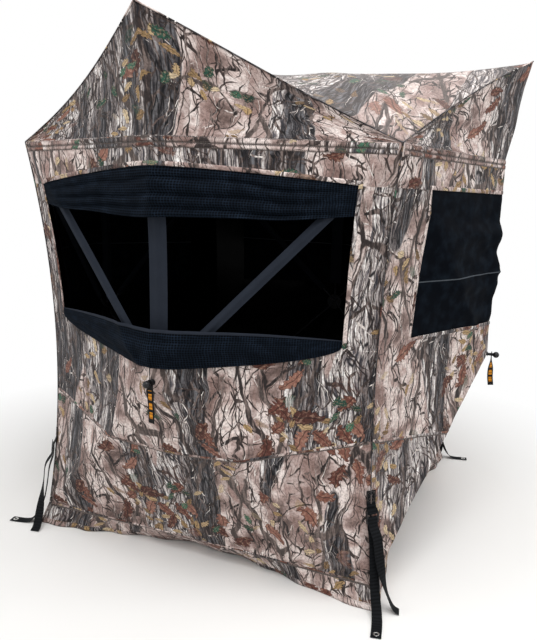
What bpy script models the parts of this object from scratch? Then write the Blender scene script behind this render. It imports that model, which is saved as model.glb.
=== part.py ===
"""Pop-up ground blind: a square hub-style fabric hide with four hubs, spring rods and staking straps.

Metres, +Z up.  The origin lies on the ground in the middle of the hide.  The front wall faces -Y.
Every wall is drawn once in its own frame (u to the right, out away from the middle, z up) and then
turned about Z in quarter turns: front, right, back, left.
"""
import bmesh
import bpy
from math import atan2, cos, hypot, pi, sin, sqrt
from mathutils import Matrix, Vector

# Overall shape
CORNER = 0.740          # half width between the corner edges at the eave seam
FOOT = 0.740            # half width between the corner edges at the skirt seam
EAVE_Z = 1.620          # height of the eave seam
SEAM_Z = 0.090          # height of the skirt seam
EAVE_MID = 0.995        # how far out the eave seam stands at the middle of a wall
HUB_OUT = 1.005         # how far out the cloth stands at a hub
HUB_Z = 0.825           # height of a hub
PEAK_OUT = 1.055        # how far out the roof peak over a wall stands
PEAK_Z = 1.980          # height of the roof peaks
EDGE_BOW = 0.070        # how far a corner edge draws in at half height
RIDGE_BOW = 0.040       # how far a ridge from peak to corner draws in at its middle
ROOF_MID_Z = 1.920      # height of the roof's middle
ROOF_FALL = 4.0         # how late the roof falls towards its corners
SKIRT_FLARE = 0.030     # how far the hem stands out at a corner
SKIRT_TUCK = 0.100      # how far the hem tucks in at the middle of a wall
CLOTH = 0.002           # thickness of the coated cloth
CLEAR = 0.0004          # gap between sewn or touching pieces
RIDGE_GAP = CLOTH + CLEAR            # set-back of roof and gable from their common ridge
CORNER_GAP = CLOTH + 1.5 * CLEAR     # set-back of neighbouring walls from their common edge

# Windows, in wall coordinates
FRONT_WINDOW = (-0.655, 0.620)
SIDE_WINDOW = (-0.545, 0.545)
WINDOW_Z = (0.967, 1.487)
PANEL_LAP = 0.020       # how far a window panel reaches behind the cloth round it
PANEL_FOLD = 0.010      # how far the folds of a window panel stand out
SWAG_DROP = 0.150       # drop of the gathered mesh at the middle of the window's head
SWAG_END_DROP = 0.095   # the same at its ends
SWAG_FOLD = 0.008       # how far its folds stand out
SILL_RISE = 0.042       # how far the lower mesh stands above the sill
SILL_HANG = 0.092       # how far it hangs below the sill in the middle
SILL_BELLY = 0.016      # how far it bellies out
SILL_OFF = 0.006        # how far it stands off the wall in the middle

# Door flap in the back wall, between the lower rods
DOOR_Z = (0.125, 0.590)
DOOR_MARGIN = 0.060     # cloth left between the flap and the rods, along the wall
DOOR_GAP = 0.0006
ZIP_W = 0.028           # width of the zip tape round the doorway
ZIP_THICK = 0.0016
ZIP_BACK = 0.002        # set-back of the tape's sides from the doorway, so that the rising flap clears them

# Hubs and rods
HUB_R = 0.046
HUB_THICK = 0.020
PIVOT_R = 0.032         # distance of a rod's cross pin from the hub's middle
ROD_R = 0.00475
ROD_HEEL = 0.010        # how far a rod reaches past its cross pin
FERRULE_R = 0.0062
FERRULE = 0.032         # length of the ferrule at a rod's tip
SLOT_PLAY = 0.0006      # side play of a rod in its slot
PIN_R = 0.0025
PIN_PLAY = 0.0003
PIN_HALF = 0.0095
TIP_SHORT = 0.042       # how far a rod's tip stops short of the corner of the cloth
TIP_IN = 0.015          # how far inside the cloth a tip lies
PEAK_TIP_IN = 0.032     # the same at a peak
PEAK_ROD_BOW = 0.032    # how far the rod to a peak bends inwards under the eave seam, at least
ROD_TO_SEAM = 0.006     # least gap between that rod and the cloth at the eave seam

# Knob and pull tab
STEM_R = 0.0060
BORE_PLAY = 0.0003
NECK = 0.024            # from the cloth to the ball
BALL_R = 0.0130
TAB_W = 0.025
TAB_LENGTH = 0.150
TAB_THICK = 0.0025
TAB_AT = 0.018          # how far out of the cloth the tab hangs

# Staking straps
WEB_W = 0.038
WEB_THICK = 0.002
STRAP_TOP_Z = 0.440     # top of the patch where a strap is sewn to the corner edge
BUCKLE_Z = 0.345
BUCKLE_OUT = 0.012      # how far the buckle's middle stands off the corner edge
BUCKLE_RAIL = 0.005
BUCKLE_HALF = 0.022     # half height of the buckle
BUCKLE_DEPTH = 0.009
BAR_R = 0.002
BAR_STEP = 0.0155       # from the buckle's middle to its end bars
EYE_R = 0.0060          # free radius of the eyelet
EYE_WALL = 0.0006
EYE_FLANGE_R = 0.0110
EYE_FLANGE = 0.0008
EYE_FROM_END = 0.020
# Route of a strap from its eyelet end on the ground up to the buckle, and of its loose tail
STRAP_ROUTE = ((0.803, -0.905, 0.0024), (0.797, -0.872, 0.0024), (0.790, -0.838, 0.0030),
               (0.783, -0.812, 0.0100), (0.7745, -0.792, 0.034), (0.7615, -0.772, 0.075),
               (0.752, -0.756, 0.120), (0.743, -0.744, 0.190), (0.735, -0.735, 0.260))
TAIL_ROUTE = ((0.7500, -0.7420, 0.275), (0.7640, -0.7450, 0.200), (0.7840, -0.7460, 0.120),
              (0.8060, -0.7440, 0.055), (0.8260, -0.7400, 0.016), (0.8460, -0.7360, 0.0026))

# Fineness of the solids
WALL_COLUMNS = 10
WALL_ROWS = 9
GABLE_ROWS = 2
SKIRT_ROWS = 2
ROOF_CELLS = 16
ROUND = 8
HUB_ROUND = 24
STEM_ROUND = 12
BENT_SPANS = 8
PANEL_CELLS = 12

SIDES = ("front", "right", "back", "left")
CORNERS = ("front_right", "back_right", "back_left", "front_left")
MATERIALS = {
    "camo_cloth": ((0.42, 0.35, 0.31), 0.85, 0.0),
    "roof_cloth": ((0.52, 0.45, 0.42), 0.85, 0.0),
    "black_mesh": ((0.020, 0.023, 0.030), 0.9, 0.0),
    "black_cloth": ((0.016, 0.019, 0.024), 0.8, 0.0),
    "moulded_nylon": ((0.018, 0.018, 0.020), 0.45, 0.0),
    "fibreglass_rod": ((0.045, 0.050, 0.062), 0.5, 0.0),
    "webbing": ((0.014, 0.014, 0.016), 0.85, 0.0),
    "plated_steel": ((0.62, 0.62, 0.60), 0.3, 1.0),
}


def clear_scene():
    for obj in list(bpy.data.objects):
        bpy.data.objects.remove(obj, do_unlink=True)


def collection(name):
    group = bpy.data.collections.new(name)
    bpy.context.scene.collection.children.link(group)
    return group


def make_material(name):
    colour, roughness, metallic = MATERIALS[name]
    material = bpy.data.materials.new(name)
    material.use_nodes = True
    shader = material.node_tree.nodes["Principled BSDF"]
    shader.inputs["Base Color"].default_value = (*colour, 1.0)
    shader.inputs["Roughness"].default_value = roughness
    shader.inputs["Metallic"].default_value = metallic
    return material


clear_scene()
PARTS = collection("pop_up_ground_blind")
CUTTERS = collection("cutters")
FINISH = {name: make_material(name) for name in MATERIALS}


def mesh_from(bm, name):
    mesh = bpy.data.meshes.new(name)
    bm.to_mesh(mesh)
    bm.free()
    return mesh


def add_part(name, mesh, finish, matrix=None, smooth=True):
    obj = bpy.data.objects.new(name, mesh)
    PARTS.objects.link(obj)
    if not mesh.materials:
        mesh.materials.append(FINISH[finish])
    if smooth:
        mesh.shade_smooth()
        mesh.set_sharp_from_angle(angle=pi / 6)
    if matrix is not None:
        obj.matrix_world = matrix
    return obj


def add_cutter(name, mesh, matrix=None):
    obj = bpy.data.objects.new(name, mesh)
    CUTTERS.objects.link(obj)
    obj.hide_render = True
    obj.display_type = "WIRE"
    if matrix is not None:
        obj.matrix_world = matrix
    return obj


def boolean(obj, tool, operation):
    step = obj.modifiers.new(tool.name, "BOOLEAN")
    step.operation = operation
    step.object = tool
    return step


def thicken(obj, thickness):
    step = obj.modifiers.new("cloth", "SOLIDIFY")
    step.thickness = thickness
    step.offset = -1.0
    return step


def box(bm, size, centre):
    place = Matrix.Translation(centre) @ Matrix.Diagonal((*size, 1.0))
    return bmesh.ops.create_cube(bm, size=1.0, matrix=place)["verts"]


def cylinder(bm, radius, length, matrix, segments=ROUND):
    """A cylinder along the matrix's Z axis, centred on its origin."""
    return bmesh.ops.create_cone(bm, cap_ends=True, segments=segments, radius1=radius,
                                 radius2=radius, depth=length, matrix=matrix)["verts"]


def turned(profile, name, closed=False, segments=ROUND):
    """A shape turned about Z from (radius, height) points that run down its outer side."""
    bm = bmesh.new()
    points = [bm.verts.new((radius, 0.0, height)) for radius, height in profile]
    pairs = list(zip(points, points[1:] + points[:1]))
    edges = [bm.edges.new(pair) for pair in (pairs if closed else pairs[:-1])]
    bmesh.ops.spin(bm, geom=points + edges, cent=(0, 0, 0), axis=(0, 0, 1), angle=2 * pi,
                   steps=segments, use_merge=True)
    bmesh.ops.remove_doubles(bm, verts=bm.verts, dist=1e-6)
    bmesh.ops.recalc_face_normals(bm, faces=bm.faces)
    return mesh_from(bm, name)


def joined(pieces, name):
    """Several closed pieces made one body: each is a function that adds a piece to a bmesh."""
    scratch = []
    for piece in pieces:
        bm = bmesh.new()
        piece(bm)
        scratch.append(add_cutter(name + "_piece", mesh_from(bm, name + "_piece")))
    for tool in scratch[1:]:
        boolean(scratch[0], tool, "UNION")
    mesh = evaluated_mesh(scratch[0], name)
    for tool in scratch:
        bpy.data.objects.remove(tool, do_unlink=True)
    return mesh


def evaluated_mesh(obj, name):
    graph = bpy.context.evaluated_depsgraph_get()
    graph.update()
    mesh = bpy.data.meshes.new_from_object(obj.evaluated_get(graph))
    mesh.name = name
    return mesh


# Shape of the cloth, in the front wall's frame

def corner_edge(z):
    """Half width of the drawn-in corner edge at height z."""
    share = (z - SEAM_Z) / (EAVE_Z - SEAM_Z)
    straight = FOOT + (CORNER - FOOT) * share
    return straight - EDGE_BOW / sqrt(2) * 4 * share * (1 - share)


def local(u, out, z):
    """A point of the front wall: u to the right, out towards -Y."""
    return Vector((u, -out, z))


def ridge(share, sign=1.0):
    """A point on the ridge from the peak (share 0) to a corner (share 1)."""
    u = CORNER * share
    out = PEAK_OUT + (CORNER - PEAK_OUT) * share
    drawn = 1.0 - RIDGE_BOW * 4 * share * (1 - share) / hypot(u, out)
    return local(sign * u * drawn, out * drawn, PEAK_Z + (EAVE_Z - PEAK_Z) * share)


def eave(u):
    share = abs(u) / CORNER
    return local(u, EAVE_MID + (CORNER - EAVE_MID) * share, EAVE_Z)


def skirt_seam(u):
    return local(u * FOOT / CORNER, FOOT, SEAM_Z)


def hem(u):
    share = sin(pi / 2 * min(1.0, abs(u) / CORNER)) ** 2
    reach = FOOT + SKIRT_FLARE
    out = FOOT + SKIRT_FLARE * share - SKIRT_TUCK * (1 - share)
    return local(u * reach / CORNER, out, -CLOTH)


def wall_point(u, z):
    """The cloth over a point of the flat pattern: skirt, wall stretched over the hub, and gable."""
    side = 1.0 if u >= 0 else -1.0
    if z > EAVE_Z:
        rise = (z - EAVE_Z) / (PEAK_Z - EAVE_Z)
        return eave(u).lerp(ridge(abs(u) / CORNER, side), rise)
    if z < SEAM_Z:
        return skirt_seam(u).lerp(hem(u), (SEAM_Z - z) / SEAM_Z)
    hub = local(0.0, HUB_OUT, HUB_Z)
    across = abs(u) / CORNER
    up = (z - HUB_Z) / (EAVE_Z - HUB_Z)
    down = (HUB_Z - z) / (HUB_Z - SEAM_Z)
    reach = max(across, up, down)
    if reach < 1e-9:
        return hub
    if across >= max(up, down):
        height = HUB_Z + (z - HUB_Z) / reach
        edge = corner_edge(height)
        rim = local(side * edge, edge, height)
    elif up > down:
        rim = eave(u / reach)
    else:
        rim = skirt_seam(u / reach)
    return hub.lerp(rim, reach)


def roof_point(x, y):
    """The roof over a square of side 2: corners of the square are corners of the hide."""
    spread = max(abs(x), abs(y))
    if spread < 1e-9:
        return Vector((0.0, 0.0, ROOF_MID_Z))
    share = min(abs(x), abs(y)) / spread
    rim = ridge(share)
    along, out = rim.x, -rim.y
    if abs(x) > abs(y):
        plan = Vector((out, along))
    else:
        plan = Vector((along, out))
    late = 2.0 + (ROOF_FALL - 2.0) * share
    z = ROOF_MID_Z + (rim.z - ROOF_MID_Z) * spread ** late
    return Vector((plan.x * spread * (1 if x >= 0 else -1), plan.y * spread * (1 if y >= 0 else -1), z))


def quarter(index):
    return Matrix.Rotation(index * pi / 2, 4, "Z")


def flat_pattern(u_range, z_range):
    """One flat face, u along X and z along Y, ready to be cut into cells."""
    bm = bmesh.new()
    bmesh.ops.create_grid(bm, x_segments=1, y_segments=1, size=0.5)
    for vert in bm.verts:
        vert.co.x = u_range[0] if vert.co.x < 0 else u_range[1]
        vert.co.y = z_range[0] if vert.co.y < 0 else z_range[1]
    return bm


def cut(bm, point, along, keep=None):
    """Cut the flat pattern along a line; keep limits the cut to some of its faces."""
    faces = [face for face in bm.faces if keep is None or keep(face.calc_center_median())]
    edges = {edge for face in faces for edge in face.edges}
    verts = {vert for face in faces for vert in face.verts}
    normal = Vector((-along[1], along[0], 0.0))
    bmesh.ops.bisect_plane(bm, geom=faces + list(edges) + list(verts), dist=1e-5,
                           plane_co=(point[0], point[1], 0.0), plane_no=normal)


def steps(low, high, count):
    return [low + (high - low) * index / count for index in range(1, count)]


def shape_pattern(bm):
    for vert in bm.verts:
        vert.co = wall_point(vert.co.x, vert.co.y)
    bmesh.ops.remove_doubles(bm, verts=bm.verts, dist=1e-5)
    bmesh.ops.triangulate(bm, faces=bm.faces)


def window_lines(bm, u_range, z_range):
    for u in u_range:
        cut(bm, (u, 0.0), (0.0, 1.0))
    for z in z_range:
        cut(bm, (0.0, z), (1.0, 0.0))


def drop_faces(bm, inside):
    doomed = [face for face in bm.faces if inside(face.calc_center_median())]
    bmesh.ops.delete(bm, geom=doomed, context="FACES")


def door_half(z):
    """Half width of the door opening at height z: it follows the lower rods."""
    return CORNER * (HUB_Z - z) / (HUB_Z - SEAM_Z) - DOOR_MARGIN


def rod_line(bm, corner_u, corner_z):
    """A fold of the cloth along a rod, from the hub to a corner of the wall."""
    def near(point):
        return point.x * corner_u > 0 and (point.y - HUB_Z) * (corner_z - HUB_Z) > 0 \
            and SEAM_Z < point.y < EAVE_Z
    cut(bm, (0.0, HUB_Z), (corner_u, corner_z - HUB_Z), near)


def build_wall(index):
    edge = CORNER - CORNER_GAP
    top = PEAK_Z - RIDGE_GAP * (PEAK_Z - EAVE_Z) / hypot(PEAK_Z - EAVE_Z, PEAK_OUT - EAVE_MID)
    bm = flat_pattern((-edge, edge), (0.0, top))
    for z in (SEAM_Z, HUB_Z, EAVE_Z):
        cut(bm, (0.0, z), (1.0, 0.0))
    for z in steps(0.0, SEAM_Z, SKIRT_ROWS) + steps(SEAM_Z, EAVE_Z, WALL_ROWS) \
            + steps(EAVE_Z, PEAK_Z, GABLE_ROWS):
        cut(bm, (0.0, z), (1.0, 0.0))
    for u in steps(-CORNER, CORNER, WALL_COLUMNS):
        cut(bm, (u, 0.0), (0.0, 1.0))
    for corner_u in (-CORNER, CORNER):
        rod_line(bm, corner_u, EAVE_Z)
        rod_line(bm, corner_u, SEAM_Z)
    u_range = FRONT_WINDOW if index == 0 else SIDE_WINDOW
    window_lines(bm, u_range, WINDOW_Z)
    drop_faces(bm, lambda point: u_range[0] < point.x < u_range[1]
               and WINDOW_Z[0] < point.y < WINDOW_Z[1])
    if SIDES[index] == "back":
        for z in DOOR_Z:
            cut(bm, (0.0, z), (1.0, 0.0))
        for sign in (-1.0, 1.0):
            low, high = ((sign * door_half(z), z) for z in DOOR_Z)
            cut(bm, low, (high[0] - low[0], high[1] - low[1]),
                lambda point: DOOR_Z[0] < point.y < DOOR_Z[1] and point.x * sign > 0)
        drop_faces(bm, lambda point: DOOR_Z[0] < point.y < DOOR_Z[1]
                   and abs(point.x) < door_half(point.y))
    shape_pattern(bm)
    name = SIDES[index] + "_wall"
    wall = add_part(name, mesh_from(bm, name), "camo_cloth", quarter(index))
    thicken(wall, CLOTH)
    boolean(wall, GROUND, "DIFFERENCE")
    boolean(wall, STEM_HOLES[index], "DIFFERENCE").solver = "MANIFOLD"
    return wall


def build_roof():
    bm = bmesh.new()
    half = 1.0 - RIDGE_GAP / CORNER
    bmesh.ops.create_grid(bm, x_segments=ROOF_CELLS, y_segments=ROOF_CELLS, size=half)
    for vert in bm.verts:
        vert.co = roof_point(vert.co.x, vert.co.y)
    bmesh.ops.triangulate(bm, faces=bm.faces)
    roof = add_part("roof_canopy", mesh_from(bm, "roof_canopy"), "roof_cloth")
    thicken(roof, CLOTH)


def cloth_sheet(name, cells, place, finish, matrix, thickness=CLOTH):
    """A sheet over the unit square, put in place by a function of (across, down)."""
    bm = bmesh.new()
    bmesh.ops.create_grid(bm, x_segments=cells[0], y_segments=cells[1], size=0.5)
    for vert in bm.verts:
        vert.co = place(vert.co.x + 0.5, 0.5 - vert.co.y)
    bmesh.ops.triangulate(bm, faces=bm.faces)
    sheet = add_part(name, mesh_from(bm, name), finish, matrix)
    thicken(sheet, thickness)
    return sheet


def slant():
    """How much a gap measured outwards exceeds the same gap square to the cloth, at most."""
    return hypot(1.0, (HUB_OUT - CORNER + EDGE_BOW) / (CORNER - EDGE_BOW)) * 1.08


def lapped(share, low, high):
    """Spread cells over a window: the first and last cell lie behind the cloth round it."""
    cell = share * PANEL_CELLS
    if cell <= 1:
        return low - PANEL_LAP * (1 - cell)
    if cell >= PANEL_CELLS - 1:
        return high + PANEL_LAP * (cell - PANEL_CELLS + 1)
    return low + (high - low) * (cell - 1) / (PANEL_CELLS - 2)


def build_window_panel(index):
    """Black panel laid behind the window's edges, standing out in soft folds inside them."""
    behind = (CLOTH + CLEAR) * slant()

    def inside(value, limits):
        share = (value - limits[0]) / (limits[1] - limits[0])
        return max(0.0, 4 * share * (1 - share))

    def place(across, down):
        u = lapped(across, *SIDE_WINDOW)
        z = lapped(1 - down, *WINDOW_Z)
        calm = inside(u, SIDE_WINDOW) * inside(z, WINDOW_Z)
        fold = sin(2 * pi * (3.2 * down + 0.5 * across)) + 0.6 * sin(2 * pi * (5.3 * down - 1.1 * across))
        point = wall_point(u, z)
        point.y += behind - calm * (behind + PANEL_FOLD * (1.0 + 0.45 * fold))
        return point
    cells = PANEL_CELLS, PANEL_CELLS
    cloth_sheet(SIDES[index] + "_window_panel", cells, place, "black_cloth", quarter(index))


def build_upper_mesh():
    """Shooting mesh drawn up to the window's head, hanging in long level folds."""
    reach = FRONT_WINDOW[0] - PANEL_LAP / 2, FRONT_WINDOW[1] + PANEL_LAP
    behind = (CLOTH + CLEAR) * slant()

    def place(across, down):
        u = from_middle(across, reach)
        sag = 4 * across * (1 - across)
        drop = SWAG_END_DROP + (SWAG_DROP - SWAG_END_DROP) * sag
        z = WINDOW_Z[1] + PANEL_LAP - (drop + PANEL_LAP) * down
        free = max(0.0, WINDOW_Z[1] - z) / drop
        ends = min(1.0, 5 * min(across, 1 - across))
        fold = 0.5 - 0.5 * cos(2 * pi * (3.0 * free + 0.25 * sag))
        point = wall_point(u, z)
        point.y += behind - SWAG_FOLD * fold * min(1.0, 4 * free) * ends
        return point
    cloth_sheet("front_mesh_upper", (12, 12), place, "black_mesh", quarter(0))


def from_middle(across, limits):
    """Spread cells to both sides of a wall's middle fold, so that none lies across it."""
    if across < 0.5:
        return limits[0] * (1 - 2 * across)
    return limits[1] * (2 * across - 1)


def build_lower_mesh():
    """Window cloth let down over the sill: a gathered crescent held at the window's lower corners."""
    on_wall = CLOTH + CLEAR

    def place(across, down):
        u = from_middle(across, FRONT_WINDOW)
        sag = 4 * across * (1 - across)
        top = WINDOW_Z[0] + SILL_RISE * (0.35 + 0.65 * sag)
        bottom = WINDOW_Z[0] - SILL_RISE * 0.25 - (SILL_HANG - SILL_RISE * 0.25) * sag
        z = top + (bottom - top) * down
        belly = sin(pi * min(1.0, down * 1.02)) * sag ** 0.5
        fold = 0.75 + 0.25 * cos(2 * pi * 2.5 * down)
        point = wall_point(u, z)
        point.y -= on_wall * slant() + SILL_OFF * sag ** 0.5 + SILL_BELLY * belly * fold
        return point
    cloth_sheet("front_mesh_lower", (12, 10), place, "black_mesh", quarter(0))


def build_door():
    """Door flap of the back wall; it hangs from its straight top edge."""
    low_z, high_z = DOOR_Z[0] + DOOR_GAP, DOOR_Z[1] - DOOR_GAP

    def place(across, down):
        z = high_z + (low_z - high_z) * down
        half = door_half(z) - DOOR_GAP * hypot(1.0, CORNER / (HUB_Z - SEAM_Z))
        return wall_point(half * (2 * across - 1), z)
    hinge = wall_point(0.0, high_z)
    turn = quarter(SIDES.index("back"))

    def from_hinge(across, down):
        return place(across, down) - hinge
    cloth_sheet("back_door", (4, 3), from_hinge, "camo_cloth", turn @ Matrix.Translation(hinge))


def build_door_zip():
    """Zip tape on the wall beside and above the flap; it turns about the skirt seam as the wall tips."""
    level = hypot(1.0, CORNER / (HUB_Z - SEAM_Z))
    inner, wide = ZIP_BACK * level, ZIP_W * level
    foot = door_half(DOOR_Z[0]) + wide
    bm = flat_pattern((-foot, foot), (DOOR_Z[0], DOOR_Z[1] + ZIP_W))
    cut(bm, (0.0, DOOR_Z[1]), (1.0, 0.0))
    for sign in (-1.0, 1.0):
        for beside in (inner, wide):
            low, high = (Vector((sign * (door_half(z) + beside), z)) for z in DOOR_Z)
            cut(bm, low, high - low)
    drop_faces(bm, lambda point: abs(point.x) > door_half(point.y) + wide
               or point.y < DOOR_Z[1] and abs(point.x) < door_half(point.y) + inner)
    shape_pattern(bm)
    axis_point = skirt_seam(0.0)
    off = local(0.0, HUB_Z - SEAM_Z, FOOT - HUB_OUT).normalized() * (ZIP_THICK + CLEAR)
    bm.transform(Matrix.Translation(off - axis_point))
    turn = quarter(SIDES.index("back"))
    tape = add_part("back_door_zip", mesh_from(bm, "back_door_zip"), "webbing",
                    turn @ Matrix.Translation(axis_point))
    thicken(tape, ZIP_THICK)


# Hubs, rods, knobs and pull tabs

def hub_plane_out():
    """Outward place of the rods' cross pins: the hub's rim stays inside the steepest cloth."""
    narrowest = min(corner_edge(z) for z in (SEAM_Z, HUB_Z, (SEAM_Z + EAVE_Z) / 2, EAVE_Z))
    steepest = max((HUB_OUT - FOOT) / (HUB_Z - SEAM_Z), HUB_OUT / narrowest - 1.0)
    return HUB_OUT - steepest * HUB_R - CLOTH * hypot(1.0, steepest) - CLEAR * 2 - HUB_THICK / 2


def rod_ends():
    """For each rod its corner of the cloth, as (u, out, z), before it is drawn back to the tip."""
    return {
        "top_left": (-CORNER, CORNER, EAVE_Z),
        "top_right": (CORNER, CORNER, EAVE_Z),
        "peak": (0.0, PEAK_OUT, PEAK_Z),
        "bottom_left": (-FOOT, FOOT, SEAM_Z),
        "bottom_right": (FOOT, FOOT, SEAM_Z),
    }


def rod_frame(key):
    """A rod's pivot, its run to the tip and its cross pin's direction in the front wall's frame."""
    u, out, z = rod_ends()[key]
    flat = Vector((u, z - HUB_Z))
    heading = flat.normalized()
    pivot = local(heading.x * PIVOT_R, hub_plane_out(), HUB_Z + heading.y * PIVOT_R)
    corner = local(u, out, z)
    back = (local(0.0, HUB_OUT, HUB_Z) - corner).normalized()
    inwards = Vector((0.0, PEAK_TIP_IN if key == "peak" else TIP_IN, 0.0))
    tip = corner + back * TIP_SHORT + inwards
    cross = Vector((-heading.y, 0.0, heading.x))
    return pivot, tip - pivot, cross


def rod_matrix(key):
    """Rod frame as a matrix: origin on the cross pin, X along the rod, Y along the pin."""
    pivot, run, cross = rod_frame(key)
    x_axis = run.normalized()
    y_axis = (cross - x_axis * cross.dot(x_axis)).normalized()
    z_axis = x_axis.cross(y_axis)
    turn = Matrix((x_axis, y_axis, z_axis)).transposed().to_4x4()
    return Matrix.Translation(pivot) @ turn


def rod_bow(key):
    """Inward bend of a rod: the one to a peak clears the eave seam, which lies inside its straight line."""
    if key != "peak":
        return 0.0
    pivot, run, cross = rod_frame(key)
    share = (EAVE_Z - pivot.z) / run.z
    straight_out = -(pivot.y + run.y * share)
    clear_out = EAVE_MID - CLOTH - ROD_TO_SEAM - ROD_R
    return max(PEAK_ROD_BOW, (straight_out - clear_out) / (4 * share * (1 - share)))


def rod_mesh(name, length, bow):
    """A rod along X with its ferrule and cross pin; bow is how far its middle bends inwards."""
    profile = [(0.0, length), (FERRULE_R, length), (FERRULE_R, length - FERRULE), (ROD_R, length - FERRULE)]
    if bow > 0:
        profile += [(ROD_R, length - FERRULE - step) for step in steps(0.0, length - FERRULE, BENT_SPANS)]
    profile += [(ROD_R, -ROD_HEEL), (0.0, -ROD_HEEL)]
    shaft_mesh = turned(profile, name)
    shaft_mesh.transform(Matrix.Rotation(pi / 2, 4, "Y"))
    for vert in shaft_mesh.vertices:
        share = vert.co.x / length
        vert.co.z -= bow * 4 * max(0.0, share) * (1 - share)

    def shaft(bm):
        bm.from_mesh(shaft_mesh)

    def pin(bm):
        cylinder(bm, PIN_R, 2 * PIN_HALF, Matrix.Rotation(pi / 2, 4, "X"))
    return joined((shaft, pin), name)


def hub_mesh():
    """Slotted hub disc in its own frame: Y is inwards, Z up, origin in its middle."""
    disc = bmesh.new()
    cylinder(disc, HUB_R, HUB_THICK, Matrix.Rotation(pi / 2, 4, "X"), HUB_ROUND)
    body = add_cutter("hub_blank", mesh_from(disc, "hub_blank"))
    tools = []

    def add_tool(name, bm):
        tool = add_cutter(name, mesh_from(bm, name))
        tools.append(tool)
        boolean(body, tool, "DIFFERENCE")
    for key, end in rod_ends().items():
        heading = atan2(end[2] - HUB_Z, end[0])
        turn = Matrix.Rotation(-heading, 4, "Y")
        inner = PIVOT_R - ROD_HEEL - SLOT_PLAY * 4
        slot = bmesh.new()
        box(slot, (HUB_R, HUB_THICK * 2, 2 * (ROD_R + SLOT_PLAY)), (inner + HUB_R / 2, 0, 0))
        slot.transform(turn)
        add_tool("slot_" + key, slot)
        hole = bmesh.new()
        cylinder(hole, PIN_R + PIN_PLAY, 2 * (PIN_HALF + PIN_PLAY), Matrix.Translation((PIVOT_R, 0, 0)))
        hole.transform(turn)
        add_tool("pin_hole_" + key, hole)
    bore = bmesh.new()
    cylinder(bore, STEM_R + BORE_PLAY, HUB_THICK * 2, Matrix.Rotation(pi / 2, 4, "X"), STEM_ROUND)
    add_tool("stem_bore", bore)
    mesh = evaluated_mesh(body, "hub")
    for tool in tools + [body]:
        bpy.data.objects.remove(tool, do_unlink=True)
    return mesh


def knob_mesh():
    """Knob turned about Z, which points out of the wall; its foot is in the hub's bore."""
    foot = hub_plane_out() - HUB_OUT
    centre = NECK + BALL_R
    profile = [(0.0, centre + BALL_R)]
    for step in range(1, 6):
        angle = pi / 2 - step * pi / 6
        profile.append((BALL_R * cos(angle), centre + BALL_R * sin(angle)))
    profile = [point for point in profile if point[0] > STEM_R or point[1] > centre]
    profile += [(STEM_R, centre - sqrt(BALL_R ** 2 - STEM_R ** 2)), (STEM_R, foot), (0.0, foot)]
    return turned(profile, "hub_knob", segments=STEM_ROUND)


def tab_mesh():
    """Webbing tab, flat in XZ, with the eye that hangs on the knob's neck at its origin."""
    outline = bpy.data.curves.new("pull_tab", "CURVE")
    outline.dimensions = "2D"
    outline.fill_mode = "BOTH"
    outline.extrude = TAB_THICK / 2
    half = TAB_W / 2
    edge = [(half * cos(angle), half * sin(angle))
            for angle in (index * pi / ROUND for index in range(ROUND + 1))]
    edge += [(-half, half - TAB_LENGTH), (half, half - TAB_LENGTH)]
    eye = [((STEM_R + BORE_PLAY) * cos(angle), (STEM_R + BORE_PLAY) * sin(angle))
           for angle in (-index * 2 * pi / STEM_ROUND for index in range(STEM_ROUND))]
    for points in (edge, eye):
        spline = outline.splines.new("POLY")
        spline.points.add(len(points) - 1)
        for vert, (x, y) in zip(spline.points, points):
            vert.co = (x, y, 0.0, 1.0)
        spline.use_cyclic_u = True
    flat = bpy.data.objects.new("tab_outline", outline)
    CUTTERS.objects.link(flat)
    mesh = evaluated_mesh(flat, "pull_tab")
    bpy.data.objects.remove(flat, do_unlink=True)
    bm = bmesh.new()
    bm.from_mesh(mesh)
    bmesh.ops.remove_doubles(bm, verts=bm.verts, dist=1e-6)
    bm.transform(Matrix.Rotation(pi / 2, 4, "X"))
    bm.to_mesh(mesh)
    bm.free()
    return mesh


def build_hub_sets():
    hub, knob, tab = hub_mesh(), knob_mesh(), tab_mesh()
    rods = {}
    for key in rod_ends():
        length = rod_frame(key)[1].length
        rods[key] = rod_mesh("rod_" + key, length, rod_bow(key))
    for index, side in enumerate(SIDES):
        turn = quarter(index)
        outwards = Matrix.Rotation(pi / 2, 4, "X")
        add_part(side + "_hub", hub, "moulded_nylon",
                 turn @ Matrix.Translation(local(0.0, hub_plane_out(), HUB_Z)))
        add_part(side + "_hub_knob", knob, "moulded_nylon",
                 turn @ Matrix.Translation(local(0.0, HUB_OUT, HUB_Z)) @ outwards)
        add_part(side + "_pull_tab", tab, "webbing",
                 turn @ Matrix.Translation(local(0.0, HUB_OUT + TAB_AT, HUB_Z)))
        for key in rods:
            add_part(side + "_rod_" + key, rods[key], "fibreglass_rod", turn @ rod_matrix(key))


# Staking straps, drawn at the front right corner

def corner_point(z, off):
    """A point off the corner edge, along the diagonal."""
    reach = corner_edge(z) + off / sqrt(2)
    return Vector((reach, -reach, z))


def buckle_frame():
    """Buckle's middle with its directions down the strap, across it and off the corner."""
    middle = corner_point(BUCKLE_Z, BUCKLE_OUT)
    down = (corner_point(BUCKLE_Z - BUCKLE_HALF, 0) - corner_point(BUCKLE_Z + BUCKLE_HALF, 0)).normalized()
    across = Vector((1.0, 1.0, 0.0)).normalized()
    off = across.cross(down).normalized()
    if off.x < 0:
        off = -off
    return middle, down, across, off


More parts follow.
